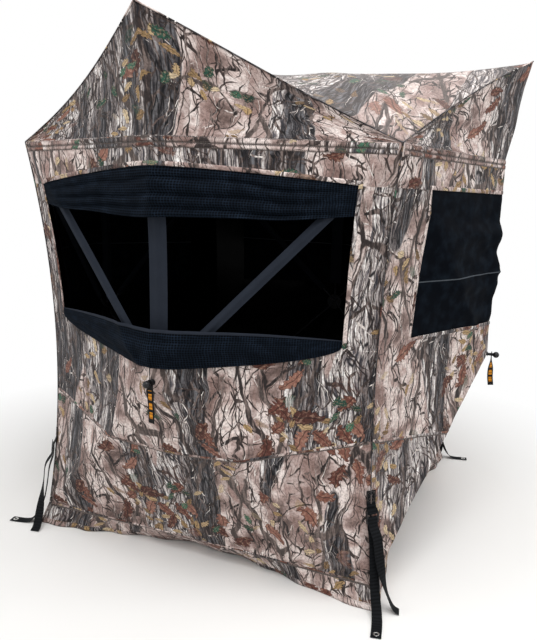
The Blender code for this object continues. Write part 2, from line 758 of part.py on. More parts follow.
def smooth_route(points, per_span=2):
    """Points on a smooth curve through a route's own points."""
    route = [Vector(point) for point in points]
    padded = [route[0] * 2 - route[1]] + route + [route[-1] * 2 - route[-2]]
    curve = []
    for a, b, c, d in zip(padded, padded[1:], padded[2:], padded[3:]):
        for step in range(per_span):
            t = step / per_span
            curve.append(0.5 * (2 * b + (c - a) * t + (2 * a - 5 * b + 4 * c - d) * t * t
                                + (3 * b - a - 3 * c + d) * t ** 3))
    return curve + [route[-1]]


def ribbon(name, path, across):
    """Webbing along a path; across gives its width direction at a share of the way."""
    last = len(path) - 1
    bm = bmesh.new()
    bmesh.ops.create_grid(bm, x_segments=1, y_segments=last, size=0.5)
    for vert in bm.verts:
        index = round((vert.co.y + 0.5) * last)
        run = (path[min(index + 1, last)] - path[max(index - 1, 0)]).normalized()
        side = across(index / last)
        side = (side - run * side.dot(run)).normalized()
        vert.co = path[index] + side * (WEB_W / 2 if vert.co.x > 0 else -WEB_W / 2)
    strip = add_cutter(name, mesh_from(bm, name))
    thicken(strip, WEB_THICK).offset = 0.0
    return strip


def loop_round_bar(bar, down, off, start_down, turn):
    """Half a turn of webbing round a bar: from the wall side, past its top or bottom, to the outside."""
    arc = []
    for step in range(7):
        angle = pi * step / 6
        arc.append(bar - off * turn * cos(angle) + down * start_down * turn * sin(angle))
    return arc


def strap_paths():
    middle, down, across, off = buckle_frame()
    turn = BAR_R + CLEAR + WEB_THICK / 2
    leave = BUCKLE_HALF + WEB_THICK * 3
    top_bar = middle - down * BAR_STEP
    sewn = [corner_point(STRAP_TOP_Z - step * (STRAP_TOP_Z - BUCKLE_Z) / 6, WEB_THICK / 2 + CLEAR)
            for step in range(4)]
    anchor = sewn + [top_bar - down * WEB_W / 4 - off * turn]
    anchor += loop_round_bar(top_bar, down, off, 1.0, turn)
    anchor += [top_bar - down * WEB_W / 4 + off * turn, top_bar - down * WEB_W / 2 + off * turn]
    strap = smooth_route(STRAP_ROUTE) + [middle + down * leave - off * turn]
    strap += loop_round_bar(middle, down, off, -1.0, turn)
    strap += [middle + down * leave + off * turn] + smooth_route(TAIL_ROUTE)
    return anchor, strap


def strap_across(share):
    """Width direction of the strap: level on the ground, square to the diagonal above, level at its tail."""
    upright = Vector((1.0, 1.0, 0.0))
    if share < 0.5:
        return Vector((1.0, 0.18, 0.0)).lerp(upright, min(1.0, share / 0.35))
    return upright.lerp(Vector((-0.2, 1.0, 0.0)), min(1.0, max(0.0, (share - 0.7) / 0.18)))


def diagonal_across(share):
    return Vector((1.0, 1.0, 0.0))


def buckle_mesh():
    """Ladder-lock buckle: two rails and three bars."""
    middle, down, across, off = buckle_frame()
    place = Matrix.Translation(middle) @ Matrix((across, down, off)).transposed().to_4x4()
    rail_at = WEB_W / 2 + CLEAR + BUCKLE_RAIL / 2
    pieces = []
    for sign in (-1.0, 1.0):
        def rail(bm, sign=sign):
            box(bm, (BUCKLE_RAIL, 2 * BUCKLE_HALF, BUCKLE_DEPTH), (sign * rail_at, 0, 0))
            bm.transform(place)
        pieces.append(rail)
    for step in (0.0, -BAR_STEP, BAR_STEP):
        def bar(bm, step=step):
            along = Matrix.Translation((0, step, 0)) @ Matrix.Rotation(pi / 2, 4, "Y")
            cylinder(bm, BAR_R, 2 * rail_at, along)
            bm.transform(place)
        pieces.append(bar)
    return joined((pieces[0], pieces[2], pieces[1], pieces[3], pieces[4]), "buckle")


def eyelet_place():
    end, inner = (Vector(point) for point in STRAP_ROUTE[:2])
    return end + (inner - end).normalized() * EYE_FROM_END


def eyelet_mesh():
    """Rolled eyelet: two flanges over the webbing and the barrel through it."""
    grip = WEB_THICK / 2 + CLEAR
    face = grip + EYE_FLANGE
    barrel = EYE_R + EYE_WALL
    return turned([(EYE_R, face), (EYE_FLANGE_R, face), (EYE_FLANGE_R, grip), (barrel, grip), (barrel, -grip),
                   (EYE_FLANGE_R, -grip), (EYE_FLANGE_R, -face), (EYE_R, -face)], "grommet", closed=True,
                  segments=STEM_ROUND)


def build_straps():
    anchor_path, strap_path = strap_paths()
    anchor = ribbon("strap_anchor", anchor_path, diagonal_across)
    strap = ribbon("stake_strap", strap_path, strap_across)
    hole = bmesh.new()
    cylinder(hole, EYE_R + EYE_WALL + CLEAR, WEB_W, Matrix.Translation(eyelet_place()), STEM_ROUND)
    punch = add_cutter("eyelet_hole", mesh_from(hole, "eyelet_hole"))
    boolean(strap, punch, "DIFFERENCE")
    shapes = {
        "strap_anchor": (evaluated_mesh(anchor, "strap_anchor"), "webbing", Matrix()),
        "stake_strap": (evaluated_mesh(strap, "stake_strap"), "webbing", Matrix()),
        "buckle": (buckle_mesh(), "moulded_nylon", Matrix()),
        "grommet": (eyelet_mesh(), "plated_steel", Matrix.Translation(eyelet_place())),
    }
    for tool in (anchor, strap, punch):
        bpy.data.objects.remove(tool, do_unlink=True)
    for index, corner in enumerate(CORNERS):
        for kind, (mesh, finish, place) in shapes.items():
            add_part(corner + "_" + kind, mesh, finish, quarter(index) @ place)


def ground_cutter():
    bm = bmesh.new()
    reach = 2 * (PEAK_OUT + PEAK_Z)
    box(bm, (reach, reach, SEAM_Z), (0, 0, -SEAM_Z / 2))
    return add_cutter("ground", mesh_from(bm, "ground"))


def stem_hole(index):
    bm = bmesh.new()
    cylinder(bm, STEM_R + BORE_PLAY, HUB_R, Matrix.Rotation(pi / 2, 4, "X"), STEM_ROUND)
    place = quarter(index) @ Matrix.Translation(local(0.0, HUB_OUT, HUB_Z))
    return add_cutter("stem_hole", mesh_from(bm, "stem_hole"), place)


GROUND = ground_cutter()
STEM_HOLES = [stem_hole(index) for index in range(len(SIDES))]


def main():
    build_roof()
    for index in range(len(SIDES)):
        build_wall(index)
    for index in range(1, len(SIDES)):
        build_window_panel(index)
    build_upper_mesh()
    build_lower_mesh()
    build_door()
    build_door_zip()
    build_hub_sets()
    build_straps()


main()
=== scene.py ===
"""Pop-up ground blind: printed cloth, mesh, webbing and frame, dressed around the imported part.

Metres, +Z up.  Every wall is drawn in its own frame (u to the right, out away from the middle, z up)
and then turned about Z in quarter turns: front (-Y), right, back, left.
"""
from math import atan2, ceil, cos, exp, hypot, pi, radians, sin, sqrt

import bmesh
import bpy
from bpy.props import FloatProperty, FloatVectorProperty, PointerProperty
from bpy.types import Operator, Panel, PropertyGroup
from mathutils import Matrix, Vector, noise


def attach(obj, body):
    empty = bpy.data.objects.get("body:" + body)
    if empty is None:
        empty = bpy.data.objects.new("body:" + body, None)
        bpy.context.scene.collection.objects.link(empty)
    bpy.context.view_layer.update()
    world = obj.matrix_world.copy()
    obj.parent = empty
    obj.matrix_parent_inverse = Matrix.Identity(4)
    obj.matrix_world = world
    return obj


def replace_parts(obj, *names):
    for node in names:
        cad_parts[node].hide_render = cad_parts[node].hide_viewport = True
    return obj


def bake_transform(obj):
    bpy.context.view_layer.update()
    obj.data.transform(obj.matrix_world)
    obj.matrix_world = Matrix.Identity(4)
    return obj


bl_info = {
    "name": "Ground Blind Dresser",
    "version": (1, 0, 0),
    "blender": (4, 5, 0),
    "location": "View3D > Sidebar > Blind",
    "description": "Dresses a pop-up ground blind with printed cloth, mesh, webbing and hardware",
    "category": "Object",
}

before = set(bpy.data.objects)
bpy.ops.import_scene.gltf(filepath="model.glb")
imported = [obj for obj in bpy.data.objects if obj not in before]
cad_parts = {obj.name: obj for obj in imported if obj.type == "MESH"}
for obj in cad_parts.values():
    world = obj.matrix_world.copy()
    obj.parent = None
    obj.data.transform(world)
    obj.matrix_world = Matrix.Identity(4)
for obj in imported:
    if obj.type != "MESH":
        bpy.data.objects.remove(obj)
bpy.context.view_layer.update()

SIDES = ("front", "right", "back", "left")
CORNERS = ("front_right", "back_right", "back_left", "front_left")

# Shape of the cover, as in the part's source
CORNER, FOOT = 0.740, 0.740
EAVE_Z, SEAM_Z, EAVE_MID = 1.620, 0.090, 0.995
HUB_OUT, HUB_Z = 1.005, 0.825
PEAK_OUT, PEAK_Z = 1.055, 1.980
EDGE_BOW, RIDGE_BOW = 0.070, 0.040
ROOF_MID_Z, ROOF_FALL = 1.920, 4.0
SKIRT_FLARE, SKIRT_TUCK = 0.030, 0.100
FRONT_WINDOW = (-0.655, 0.620)
SIDE_WINDOW = (-0.545, 0.545)
WINDOW_Z = (0.967, 1.487)
PANEL_LAP, PANEL_FOLD = 0.020, 0.010
SILL_RISE, SILL_HANG, SILL_BELLY, SILL_OFF = 0.042, 0.092, 0.016, 0.006
DOOR_Z, DOOR_MARGIN, DOOR_GAP = (0.125, 0.590), 0.060, 0.0006
ZIP_W, ZIP_BACK = 0.028, 0.002

# Lie of the cloth
HEM_Z = 0.0006                          # the hem clears the floor by this
LOWER_SEAM_Z, LOWER_SEAM_RISE = 0.52, 0.10      # seam below the hub, and how much higher it ends
HEAD_RISE, HEAD_HALF = 0.043, 0.645     # the front window's upper edge is drawn up in its middle
ROOF_CELLS, ROOF_SLACK = 110, 0.028     # cells each way, and how unevenly it hangs beside its valleys
MESH_DROP, MESH_SAG, MESH_ROLL = 0.095, 0.022, 0.0135   # drawn-up mesh: at its ends, its middle, a roll
POUCH, POUCH_W = 0.028, 0.150           # swell of the let-down cloth over the middle rod
SOFT, SILL_SOFT = 0.05, 0.08            # reach over which a window cloth rounds the folds over the rods
ROUNDING = ((-3, 1), (-2, 6), (-1, 15), (0, 20), (1, 15), (2, 6), (3, 1))
BEHIND = 0.0029         # how far a window cloth lies behind the wall round it
SLANT = 1.08            # a gap measured outwards against the same gap square to the cloth
PIVOT_AT, TIP_AT = 0.0295, 0.9624       # where a rod's cross pin and tip lie between hub and corner
# Heights of the lesser folds
GABLE_FOLD, HUB_PULL, WALL_STREAK, SKIRT_PUCKER = 0.006, 0.0030, 0.0035, 0.0016
# Uneven waves in the cloth: pitch and wander, then rate and layer of the noise behind it
GATHERS, FLUTES, SKIRT_GATHERS = (0.058, 4.5, 4.0, 1.5), (0.190, 5.0, 2.2, 8.0), (0.075, 5.0, 5.0, 3.0)

# Sewing: how high strips stand in their middle and at their edges, and width and height of the dark
# lines of painted shadow under bands and seams
BAND, BINDING, LAP, SKIRT_LAP = (0.0026, 0.0002), (0.0016, 0.0004), (0.0016, 0.0003), (0.0026, 0.0003)
TURNED_HEM, ZIP_TAPE, FACING = (0.0014, 0.0003), (0.0024, 0.0010), (-0.0034, -0.0034)
BAND_LINE, SEAM_LINE, SKIRT_LINE = (0.0022, 0.0009), (0.0050, 0.0010), (0.0085, 0.0012)
BANDS = ((0.28, 0.5), (0.8, 0.4))       # middle and height of the eave bands, as shares of their room
SEWN_REACH = 0.985                      # share of the wall's half width that strips cross
HEM_W, FACING_W = 0.022, 0.022
STITCH_W, STITCH_TALL, STITCH_LIFT, SKIRT_STITCH_LIFT, COIL_LIFT = 0.0014, 0.0008, 0.0018, 0.0028, 0.0034
ROUTE_PITCH = 0.012                     # from one point of a seam's route to the next
TRIM_THICK, WINDOW_THICK, SLEEVE_THICK = 0.0008, 0.0009, 0.0005
SLEEVE_ROD, SLEEVE_FLAT, SLEEVE_WOBBLE = 0.0064, 0.0012, 0.0012     # over the rod, beside it, wobble

# Frame, knobs and tabs
PIVOT_R, HUB_PLANE = 0.032, 0.971051
TIP_SHORT, TIP_IN, PEAK_TIP_IN, PEAK_ROD_BOW = 0.042, 0.015, 0.032, 0.032
STEM_R, NECK, BALL_R, WASHER_R = 0.006, 0.024, 0.013, 0.0105
TAB_W, TAB_LENGTH, TAB_THICK, TAB_AT = 0.025, 0.150, 0.0025, 0.018
TAB_TWIST = (12, 58, -20, 25)           # degrees, side by side

# Staking straps
WEB_W, WEB_THICK = 0.038, 0.002
WEB_PITCH, WEB_FINE = 0.009, (0.05, 0.0027)     # from point to point, and closer over a last stretch
STRAP_TOP_Z, BUCKLE_Z, BUCKLE_OUT = 0.440, 0.345, 0.012
BUCKLE_RAIL, BUCKLE_HALF, BUCKLE_DEPTH, BUCKLE_LIP = 0.005, 0.022, 0.009, 0.0012
BUCKLE_ROUND, BUCKLE_END = 0.0008, 0.8      # rounding, and depth at its ends against the middle
BAR_R, BAR_STEP, BAR_GAP = 0.002, 0.0155, 0.0004
EYE_R, EYE_WALL, EYE_FLANGE_R, EYE_FLANGE, EYE_FROM_END = 0.006, 0.0006, 0.011, 0.0008, 0.020
EYE_HOLE_R, EYE_ROLL = 0.0086, 0.0005
STRAP_LAID_Z = 0.006    # the end of the strap lies lower than this
TACK_IN, TACK_TALL = 0.004, 0.040       # the anchor's stitches: in from its edges, and their reach down
STRAP_ROUTE = ((0.803, -0.905, 0.0024), (0.797, -0.872, 0.0024), (0.790, -0.838, 0.0030),
               (0.783, -0.812, 0.0100), (0.7745, -0.792, 0.034), (0.7615, -0.772, 0.075),
               (0.752, -0.756, 0.120), (0.743, -0.744, 0.190), (0.735, -0.735, 0.260))
TAIL_ROUTE = ((0.7500, -0.7420, 0.275), (0.7640, -0.7450, 0.200), (0.7840, -0.7460, 0.120),
              (0.8060, -0.7440, 0.055), (0.8260, -0.7400, 0.016), (0.8460, -0.7360, 0.0026))
DIAGONAL = Vector((1.0, 1.0, 0.0))      # across the strap, where it hangs on the corner

# Print: turn, cell, stretch, half width, presence, colour and seed of each layer of strokes and twigs
TWIG_LAYERS = (
    (0.45, 0.030, 3.4, 0.0011, 0.47, "#5d4f4b", 8.3), (-0.6, 0.034, 3.2, 0.0010, 0.54, "#ece5e0", 6.1),
    (1.1, 0.050, 3.4, 0.0022, 0.43, "#3b3230", 1.3), (-0.9, 0.055, 3.6, 0.0024, 0.43, "#2a2423", 5.1),
    (0.35, 0.060, 3.2, 0.0024, 0.45, "#332b29", 2.9), (-0.25, 0.050, 3.0, 0.0014, 0.54, "#ded5cf", 9.7),
    (0.95, 0.085, 2.2, 0.0020, 0.40, "#2a2322", 11.3),
    (-1.05, 0.075, 2.4, 0.0018, 0.42, "#3a2f2c", 13.9),
    (-0.45, 0.17, 3.0, 0.0080, 0.46, "#4e4542", 3.4), (0.8, 0.18, 3.2, 0.0080, 0.46, "#322b2a", 7.9))
# Cell, length, width, share, gathering, seed and tones of each kind of leaf: straw, rust, green
LEAF_LAYERS = (
    (0.046, 0.026, 0.011, 0.55, 0.545, 2.2, ((0.0, "#6e573c"), (1.0, "#d3c09f"), (0.5, "#a98d62"))),
    (0.088, 0.050, 0.023, 0.62, 0.53, 6.6, ((0.0, "#452823"), (1.0, "#93685a"), (0.5, "#6a4036"))),
    (0.072, 0.026, 0.014, 0.50, 0.58, 4.9, ((0.0, "#1e3a31"), (1.0, "#47705a"), (0.5, "#2c5344"))))

# Studio: name, place, aim, width and power of each lamp; the camera as fitted to the photograph
LAMPS = (("key", (1.2, -2.2, 5.4), (0.0, 0.0, 0.9), 4.0, 230.0),
         ("fill", (-4.5, -4.2, 2.4), (0.0, 0.0, 0.9), 3.0, 70.0),
         ("rim", (4.6, 2.0, 3.4), (0.0, 0.0, 1.0), 2.5, 60.0))
FLOOR_HALF, FLOOR_Z, SKY_LIGHT = 14.0, -0.0008, 0.56
CAMERA_AT, CAMERA_TURN = (1.176, -2.712, 1.446), (-20.94, 14.00, 2.02)  # yaw, pitch, roll in degrees
CAMERA_SENSOR, CAMERA_LENS, CAMERA_SHIFT = 36.0, 34.98, (-0.0464, 0.0516)


def linear(code):
    """Linear red, green and blue of an sRGB hex colour."""
    parts = [int(code[at:at + 2], 16) / 255 for at in (1, 3, 5)]
    return tuple(c / 12.92 if c <= 0.04045 else ((c + 0.055) / 1.055) ** 2.4 for c in parts)


def rgba(code):
    return (*linear(code), 1.0)


def length_prop(name, default, description):
    return FloatProperty(name=name, description=description, default=default, unit="LENGTH", precision=4)


def colour_prop(name, code, description):
    return FloatVectorProperty(name=name, description=description, default=linear(code), subtype="COLOR",
                               size=3, min=0.0, max=1.0)


class BlindSizes(PropertyGroup):
    """Sizes of what the dressing adds to the part."""
    cell: length_prop("Cell", 0.012, "Size of the cells of the wall cloth")
    cloth: length_prop("Cloth", 0.0012, "Thickness of the coated cloth")
    sag: length_prop("Sag", 0.011, "How far the cloth falls in between two rods")
    crinkle: length_prop("Crinkle", 0.0042, "Height of the cloth's soft wrinkles")
    pucker: length_prop("Pucker", 0.0032, "Height of the gathers under the eave band")
    flute: length_prop("Flute", 0.007, "Height of the skirt's flutes")
    roof_fold: length_prop("Roof fold", 0.0030, "Height of the folds in the roof")
    band: length_prop("Eave band", 0.034, "Height of the band below the eave seam")
    binding: length_prop("Binding", 0.014, "Width of the binding round a window")
    seam: length_prop("Seam", 0.009, "Width of a lapped seam")
    piping: length_prop("Piping", 0.0022, "Radius of the bound edges where two walls meet")
    stitch: length_prop("Stitch", 0.0042, "Length of a stitch")
    stitch_pitch: length_prop("Stitch pitch", 0.0062, "From one stitch to the next")
    sleeve_side: length_prop("Side sleeve", 0.037, "Width of the rod sleeves to the upper corners")
    sleeve_peak: length_prop("Peak sleeve", 0.070, "Width of the rod sleeve to the peak")


class BlindColours(PropertyGroup):
    """Colours of the pieces."""
    mesh: colour_prop("Mesh", "#121922", "Yarn of the window mesh")
    panel: colour_prop("Panel", "#0a0d12", "Window panels")
    coat: colour_prop("Coating", "#060708", "Inside of the printed cloth")
    sleeve: colour_prop("Sleeve", "#272c35", "Rod sleeves")
    webbing: colour_prop("Webbing", "#0c0d0f", "Straps and tabs")
    bar: colour_prop("Bar", "#d08a24", "Bars woven into the pull tabs")
    nylon: colour_prop("Nylon", "#0e0e10", "Hubs, knobs and buckles")
    rod: colour_prop("Rod", "#33363d", "Fibreglass rods")
    steel: colour_prop("Steel", "#c9c8c4", "Eyelets")
    thread: colour_prop("Thread", "#2c2523", "Sewing thread")
    floor: colour_prop("Floor", "#f1f0ee", "Studio floor")


def sizes():
    return bpy.context.scene.blind_sizes


def own(key):
    """One of the scene's own colours, ready for a socket."""
    return (*getattr(bpy.context.scene.blind_colours, key), 1.0)


# Materials

def add(tree, kind, inputs=None, stops=(), **settings):
    """Add a shader node with its settings; inputs holds values and sockets by name or number."""
    item = tree.nodes.new("ShaderNode" + kind)
    for key, value in settings.items():
        setattr(item, key, value)
    for key, value in (inputs or {}).items():
        if isinstance(value, bpy.types.NodeSocket):
            tree.links.new(value, item.inputs[key])
        else:
            item.inputs[key].default_value = value
    for order, (place_on, code) in enumerate(stops):
        elements = item.color_ramp.elements
        stop = elements[order] if order < 2 else elements.new(place_on)
        stop.position = place_on
        stop.color = rgba(code)
    return item


def calc(tree, operation, *values, kind="Math"):
    return add(tree, kind, dict(enumerate(values)), operation=operation).outputs[0]


def product(tree, first, second):
    return calc(tree, "MULTIPLY", first, second)


def over(tree, below, above, mask, mode="MIX"):
    """Lay one colour over another where a mask says so."""
    return add(tree, "Mix", {0: mask, 6: below, 7: above}, data_type="RGBA", blend_type=mode).outputs[2]


def fade(tree, value, low, high, top=1.0):
    """0 up to low, top from high on; low may be the higher one."""
    limits = {"From Min": low, "From Max": high, "To Max": top}
    return add(tree, "MapRange", {"Value": value, **limits}).outputs[0]


def ramp(tree, value, *stops):
    """A colour by value: lowest and highest stop first, then those in between."""
    return add(tree, "ValToRGB", {"Fac": value}, stops).outputs["Color"]


def mottled(tree, key, code, value, low, high):
    """A scene colour that turns into another as a value rises from low to high."""
    return over(tree, own(key), rgba(code), fade(tree, value, low, high))


def where(tree, space="UV"):
    return add(tree, "TexCoord").outputs[space]


def axes_of(tree, at):
    return add(tree, "SeparateXYZ", {0: at}).outputs


def mapped(tree, at, shift=(0.0, 0.0), turn=0.0, size=(1.0, 1.0)):
    """Coordinates in units of a size, shifted and turned on the cloth."""
    return add(tree, "Mapping", {"Vector": at, "Location": (*shift, 0.0), "Rotation": (0.0, 0.0, turn),
                                 "Scale": (1 / size[0], 1 / size[1], 1.0)}).outputs[0]


def speckle(tree, at, size, detail=2.0, rough=0.5, space="2D", out="Fac"):
    """Noise with spots of a real size."""
    return add(tree, "TexNoise", {"Vector": at, "Scale": 1 / size, "Detail": detail, "Roughness": rough},
               noise_dimensions=space).outputs[out]


def cells(tree, at, size, feature="F1", randomness=1.0):
    return add(tree, "TexVoronoi", {"Vector": at, "Scale": 1 / size, "Randomness": randomness},
               voronoi_dimensions="2D", feature=feature).outputs


def ribs(tree, at, pitch, direction, wander=0.0):
    """Even ribs of a real pitch; the wave texture has 20 bands to a unit."""
    return add(tree, "TexWave", {"Vector": at, "Scale": 1 / pitch / 20, "Distortion": wander},
               bands_direction=direction).outputs["Fac"]


def shader(tree, inputs, height=None, depth=0.001, strength=1.0):
    """The surface, with a bump where a height is given."""
    if height is not None:
        bump = add(tree, "Bump", {"Height": height, "Distance": depth, "Strength": strength})
        inputs = {**inputs, "Normal": bump.outputs[0]}
    surface = add(tree, "BsdfPrincipled", inputs)
    add(tree, "OutputMaterial", {"Surface": surface.outputs[0]})


def twigs(tree, at, turn, cell, stretch, half, present, seed):
    """Mask of wandering twigs: the edges of warped cells, kept only in places and thinner in others."""
    placed = mapped(tree, at, (seed, 1.7 * seed), turn, (cell, cell * stretch))
    edge = cells(tree, placed, 1.0, "DISTANCE_TO_EDGE")["Distance"]
    thick = fade(tree, speckle(tree, placed, 1 / 0.85), present, present + 0.15, half / cell)
    return fade(tree, calc(tree, "SUBTRACT", thick, edge), 0.0, 0.3 * half / cell)


def leaves(tree, at, cell, long, wide, share, gather, seed):
    """Ragged leaves, one to a cell, gathered in places: mask, random tone, rib and edge lines, grain."""
    placed = mapped(tree, at, (seed, 0.6 * seed))
    spots = cells(tree, placed, cell)
    chance = add(tree, "SeparateColor", {0: spots["Color"]}).outputs
    lay = calc(tree, "SUBTRACT", placed, spots["Position"], kind="VectorMath")
    lay = add(tree, "VectorRotate", {"Vector": lay, "Angle": product(tree, chance[0], 2 * pi)},
              rotation_type="Z_AXIS").outputs[0]
    axes = axes_of(tree, lay)
    along = product(tree, axes[0], 1 / long)
    aside = calc(tree, "ABSOLUTE", axes[1])
    # Lobes: the blade's width swings along the leaf
    lobes = calc(tree, "SINE", product(tree, axes[0], 5.5 * pi / long))
    ragged = speckle(tree, placed, 0.5 * wide)
    room = calc(tree, "MULTIPLY_ADD", product(tree, along, along), -wide, 0.55 * wide)
    room = calc(tree, "MULTIPLY_ADD", ragged, 0.9 * wide, room)
    room = calc(tree, "MULTIPLY_ADD", lobes, 0.16 * wide, room)
    inside = calc(tree, "SUBTRACT", room, aside)
    herd = speckle(tree, spots["Position"], 0.33)
    alive = product(tree, fade(tree, chance[1], 1 - share, 1.01 - share),
                    fade(tree, herd, gather, gather + 0.02))
    line = calc(tree, "MAXIMUM", fade(tree, aside, 0.12 * wide, 0.03 * wide),
                fade(tree, inside, 0.24 * wide, 0.05 * wide))
    return product(tree, fade(tree, inside, 0.0, 0.06 * wide), alive), chance[2], line, ragged


def printed_colour(tree, pale=0.0):
    """A woodland print: tan ground, upright bark, twigs and dry leaves, all in metres of cloth."""
    uv = where(tree)
    sway = speckle(tree, uv, 0.17, 3.0, 0.45, out="Color")
    sway = calc(tree, "SUBTRACT", sway, (0.5, 0.5, 0.5), kind="VectorMath")
    at, calm = (calc(tree, "MULTIPLY_ADD", sway, (reach, reach, 0.0), uv, kind="VectorMath")
                for reach in (0.10, 0.045))
    # Ground: drifts of tan, taupe and pale pinkish grey about 130 mm across
    drift = speckle(tree, at, 0.13, 4.0, 0.55)
    colour = ramp(tree, drift, (0.30, "#6a5853"), (0.70, "#b59d96"), (0.39, "#97827c"),
                  (0.45, "#bba6a0"), (0.51, "#d6c5bf"), (0.59, "#e8dcd7"))
    # Soft far-off stems in the ground
    far = speckle(tree, mapped(tree, calm, (4.1, 0.7), 0.0, (0.075, 1.1)), 1.0)
    colour = over(tree, colour, rgba("#8f746d"), product(tree, fade(tree, far, 0.54, 0.56), 0.55))
    # Upright trunks about 120 mm wide: bark in long plates with dark cracks, one side in shadow
    stems = (mapped(tree, calm, (shift / 0.24, 0.0), radians(5), (0.24, 1.5)) for shift in (0.0, 0.028))
    lit, shaded = (speckle(tree, stem, 1.0, 2.0, 0.35) for stem in stems)
    trunk = fade(tree, lit, 0.545, 0.555)
    slope = calc(tree, "SUBTRACT", shaded, lit)
    grain = mapped(tree, calm, (0.0, 0.0), radians(7), (0.011, 0.10))
    streak = speckle(tree, grain, 1.0, 4.0, 0.6)
    plates = cells(tree, grain, 1.25, "DISTANCE_TO_EDGE")["Distance"]
    bark = ramp(tree, streak, (0.30, "#34353b"), (0.66, "#fbf8f6"), (0.39, "#686469"), (0.46, "#9c9391"),
                (0.53, "#cbc2be"))
    bark = over(tree, bark, rgba("#2b292c"), fade(tree, plates, 0.10, 0.03))
    side = ramp(tree, fade(tree, slope, -0.045, 0.045), (0.22, "#484b54"), (0.60, "#ffffff"),
                (0.38, "#aba6a7"))
    colour = over(tree, colour, over(tree, bark, side, 0.9, "MULTIPLY"), trunk)
    # Brushwood: short fine strokes, then twigs 3 to 5 mm and branches about 14 mm thick
    worn = fade(tree, streak, 0.50, 0.62)
    for turn, cell, stretch, half, present, code, seed in TWIG_LAYERS:
        tone = over(tree, rgba(code), rgba("#7a6c67"), worn)
        colour = over(tree, colour, tone, twigs(tree, at, turn, cell, stretch, half, present, seed))
    # Dry leaves in loose clusters
    for cell, long, wide, share, gather, seed, tones in LEAF_LAYERS:
        mask, chance, line, ragged = leaves(tree, at, cell, long, wide, share, gather, seed)
        tone = over(tree, ramp(tree, chance, *tones), rgba("#c9a58f"),
                    product(tree, fade(tree, ragged, 0.52, 0.72), 0.45))
        tone = over(tree, tone, rgba("#241a17"), product(tree, line, 0.75))
        colour = over(tree, colour, tone, mask)
    # Grain of the print itself
    grit = speckle(tree, uv, 0.009, 4.0, 0.7)
    colour = over(tree, colour, ramp(tree, grit, (0.33, "#9d9694"), (0.58, "#ffffff")), 0.65, "MULTIPLY")
    # Painted glare: on the roof the print is washed towards a pale grey, standing in for the sky's
    # reflection at a low angle
    if pale:
        colour = over(tree, colour, rgba("#c9beb9"), pale)
    return uv, colour


def printed_polyester(tree):
    """Printed woven polyester: matt, faintly sheeny, with a crisp small weave and soft creases."""
    uv, colour = printed_colour(tree)
    # The real weave is 0.3 mm; it is drawn at 1.6 mm so that it shows
    weave = ribs(tree, uv, 0.0016, "DIAGONAL", 0.4)
    height = calc(tree, "MULTIPLY_ADD", speckle(tree, uv, 0.030, 3.0), 6.0, weave)
    shader(tree, {"Base Color": colour, "Roughness": 0.72, "Sheen Weight": 0.04, "Sheen Roughness": 0.45,
                  "Specular IOR Level": 0.2}, height, 0.0006, 0.55)


def printed_roof(tree):
    """The same cloth on the roof, its print washed paler as painted glare of the sky, with more sheen at
    a low angle.
    """
    uv, colour = printed_colour(tree, 0.08)
    shader(tree, {"Base Color": colour, "Roughness": 0.62, "Sheen Weight": 0.06, "Sheen Roughness": 0.4,
                  "Specular IOR Level": 0.3}, speckle(tree, uv, 0.040, 3.0), 0.003, 0.5)


def black_coating(tree):
    """Black polyurethane coat inside the cloth: dark, half matt, slightly orange-peeled."""
    peel = speckle(tree, where(tree), 0.006, space="3D")
    shader(tree, {"Base Color": own("coat"), "Roughness": fade(tree, peel, 0.0, 1.6),
                  "Specular IOR Level": 0.06}, peel, 0.0003, 0.4)


def knitted_mesh(tree):
    """Black knitted polyester mesh: rows of small holes between bluish dull yarns."""
    uv = where(tree)
    # The real holes are 3 mm apart; they are drawn 9 mm apart so that they show
    yarn = fade(tree, cells(tree, uv, 0.009, randomness=0.12)["Distance"], 0.25, 0.5)
    tone = mottled(tree, "mesh", "#1c2531", speckle(tree, uv, 0.05, 3.0, space="3D"), 0.45, 0.7)
    shader(tree, {"Base Color": over(tree, rgba("#030406"), tone, yarn), "Roughness": 0.78,
                  "Specular IOR Level": 0.02}, yarn, 0.0008, 0.6)


def blackout_polyester(tree):
    """Black blackout polyester of the window panels: smooth, slightly shiny, with a painted highlight
    along a crease.
    """
    uv = where(tree)
    crease = speckle(tree, uv, 0.05, 4.0, space="3D")
    tone = mottled(tree, "panel", "#131920", crease, 0.45, 0.7)
    # A pale line of painted highlight lies on the crease left by folding; it runs across at two fifths
    # of the height, a little higher at one end
    axes = axes_of(tree, uv)
    bow = calc(tree, "MULTIPLY_ADD", product(tree, axes[0], axes[0]), -0.022, -0.224)
    off = calc(tree, "ABSOLUTE", calc(tree, "ADD", axes[1], bow))
    tone = over(tree, tone, rgba("#4a4f54"), fade(tree, off, 0.0028, 0.0012))
    shader(tree, {"Base Color": tone, "Roughness": 0.45, "Specular IOR Level": 0.004},
           crease, 0.002, 0.5)


def sleeve_cloth(tree):
    """Grey-blue woven polyester tape of the rod sleeves: plain, matt, ribbed along its length."""
    uv = where(tree)
    tone = over(tree, own("sleeve"), rgba("#1f232b"), speckle(tree, uv, 0.06, 3.0, space="3D"))
    shader(tree, {"Base Color": tone, "Roughness": 0.75, "Specular IOR Level": 0.06},
           ribs(tree, uv, 0.004, "X", 0.2), 0.0004, 0.5)


def nylon_webbing(tree):
    """Black nylon webbing: close ribs across it, with a painted highlight on the ribs in patches."""
    uv = where(tree)
    # The real ribs are 1 mm; they are drawn at 2 mm so that they show
    rows = ribs(tree, uv, 0.002, "Y", 0.3)
    rib_highlight_spots = speckle(tree, uv, 0.004, 3.0, space="3D")
    # Painted highlight: the ribs are lightened where a noise lets it
    tone = over(tree, own("webbing"), rgba("#202225"), product(tree, rows, rib_highlight_spots))
    shader(tree, {"Base Color": tone, "Roughness": 0.70, "Specular IOR Level": 0.06}, rows, 0.0005, 0.7)


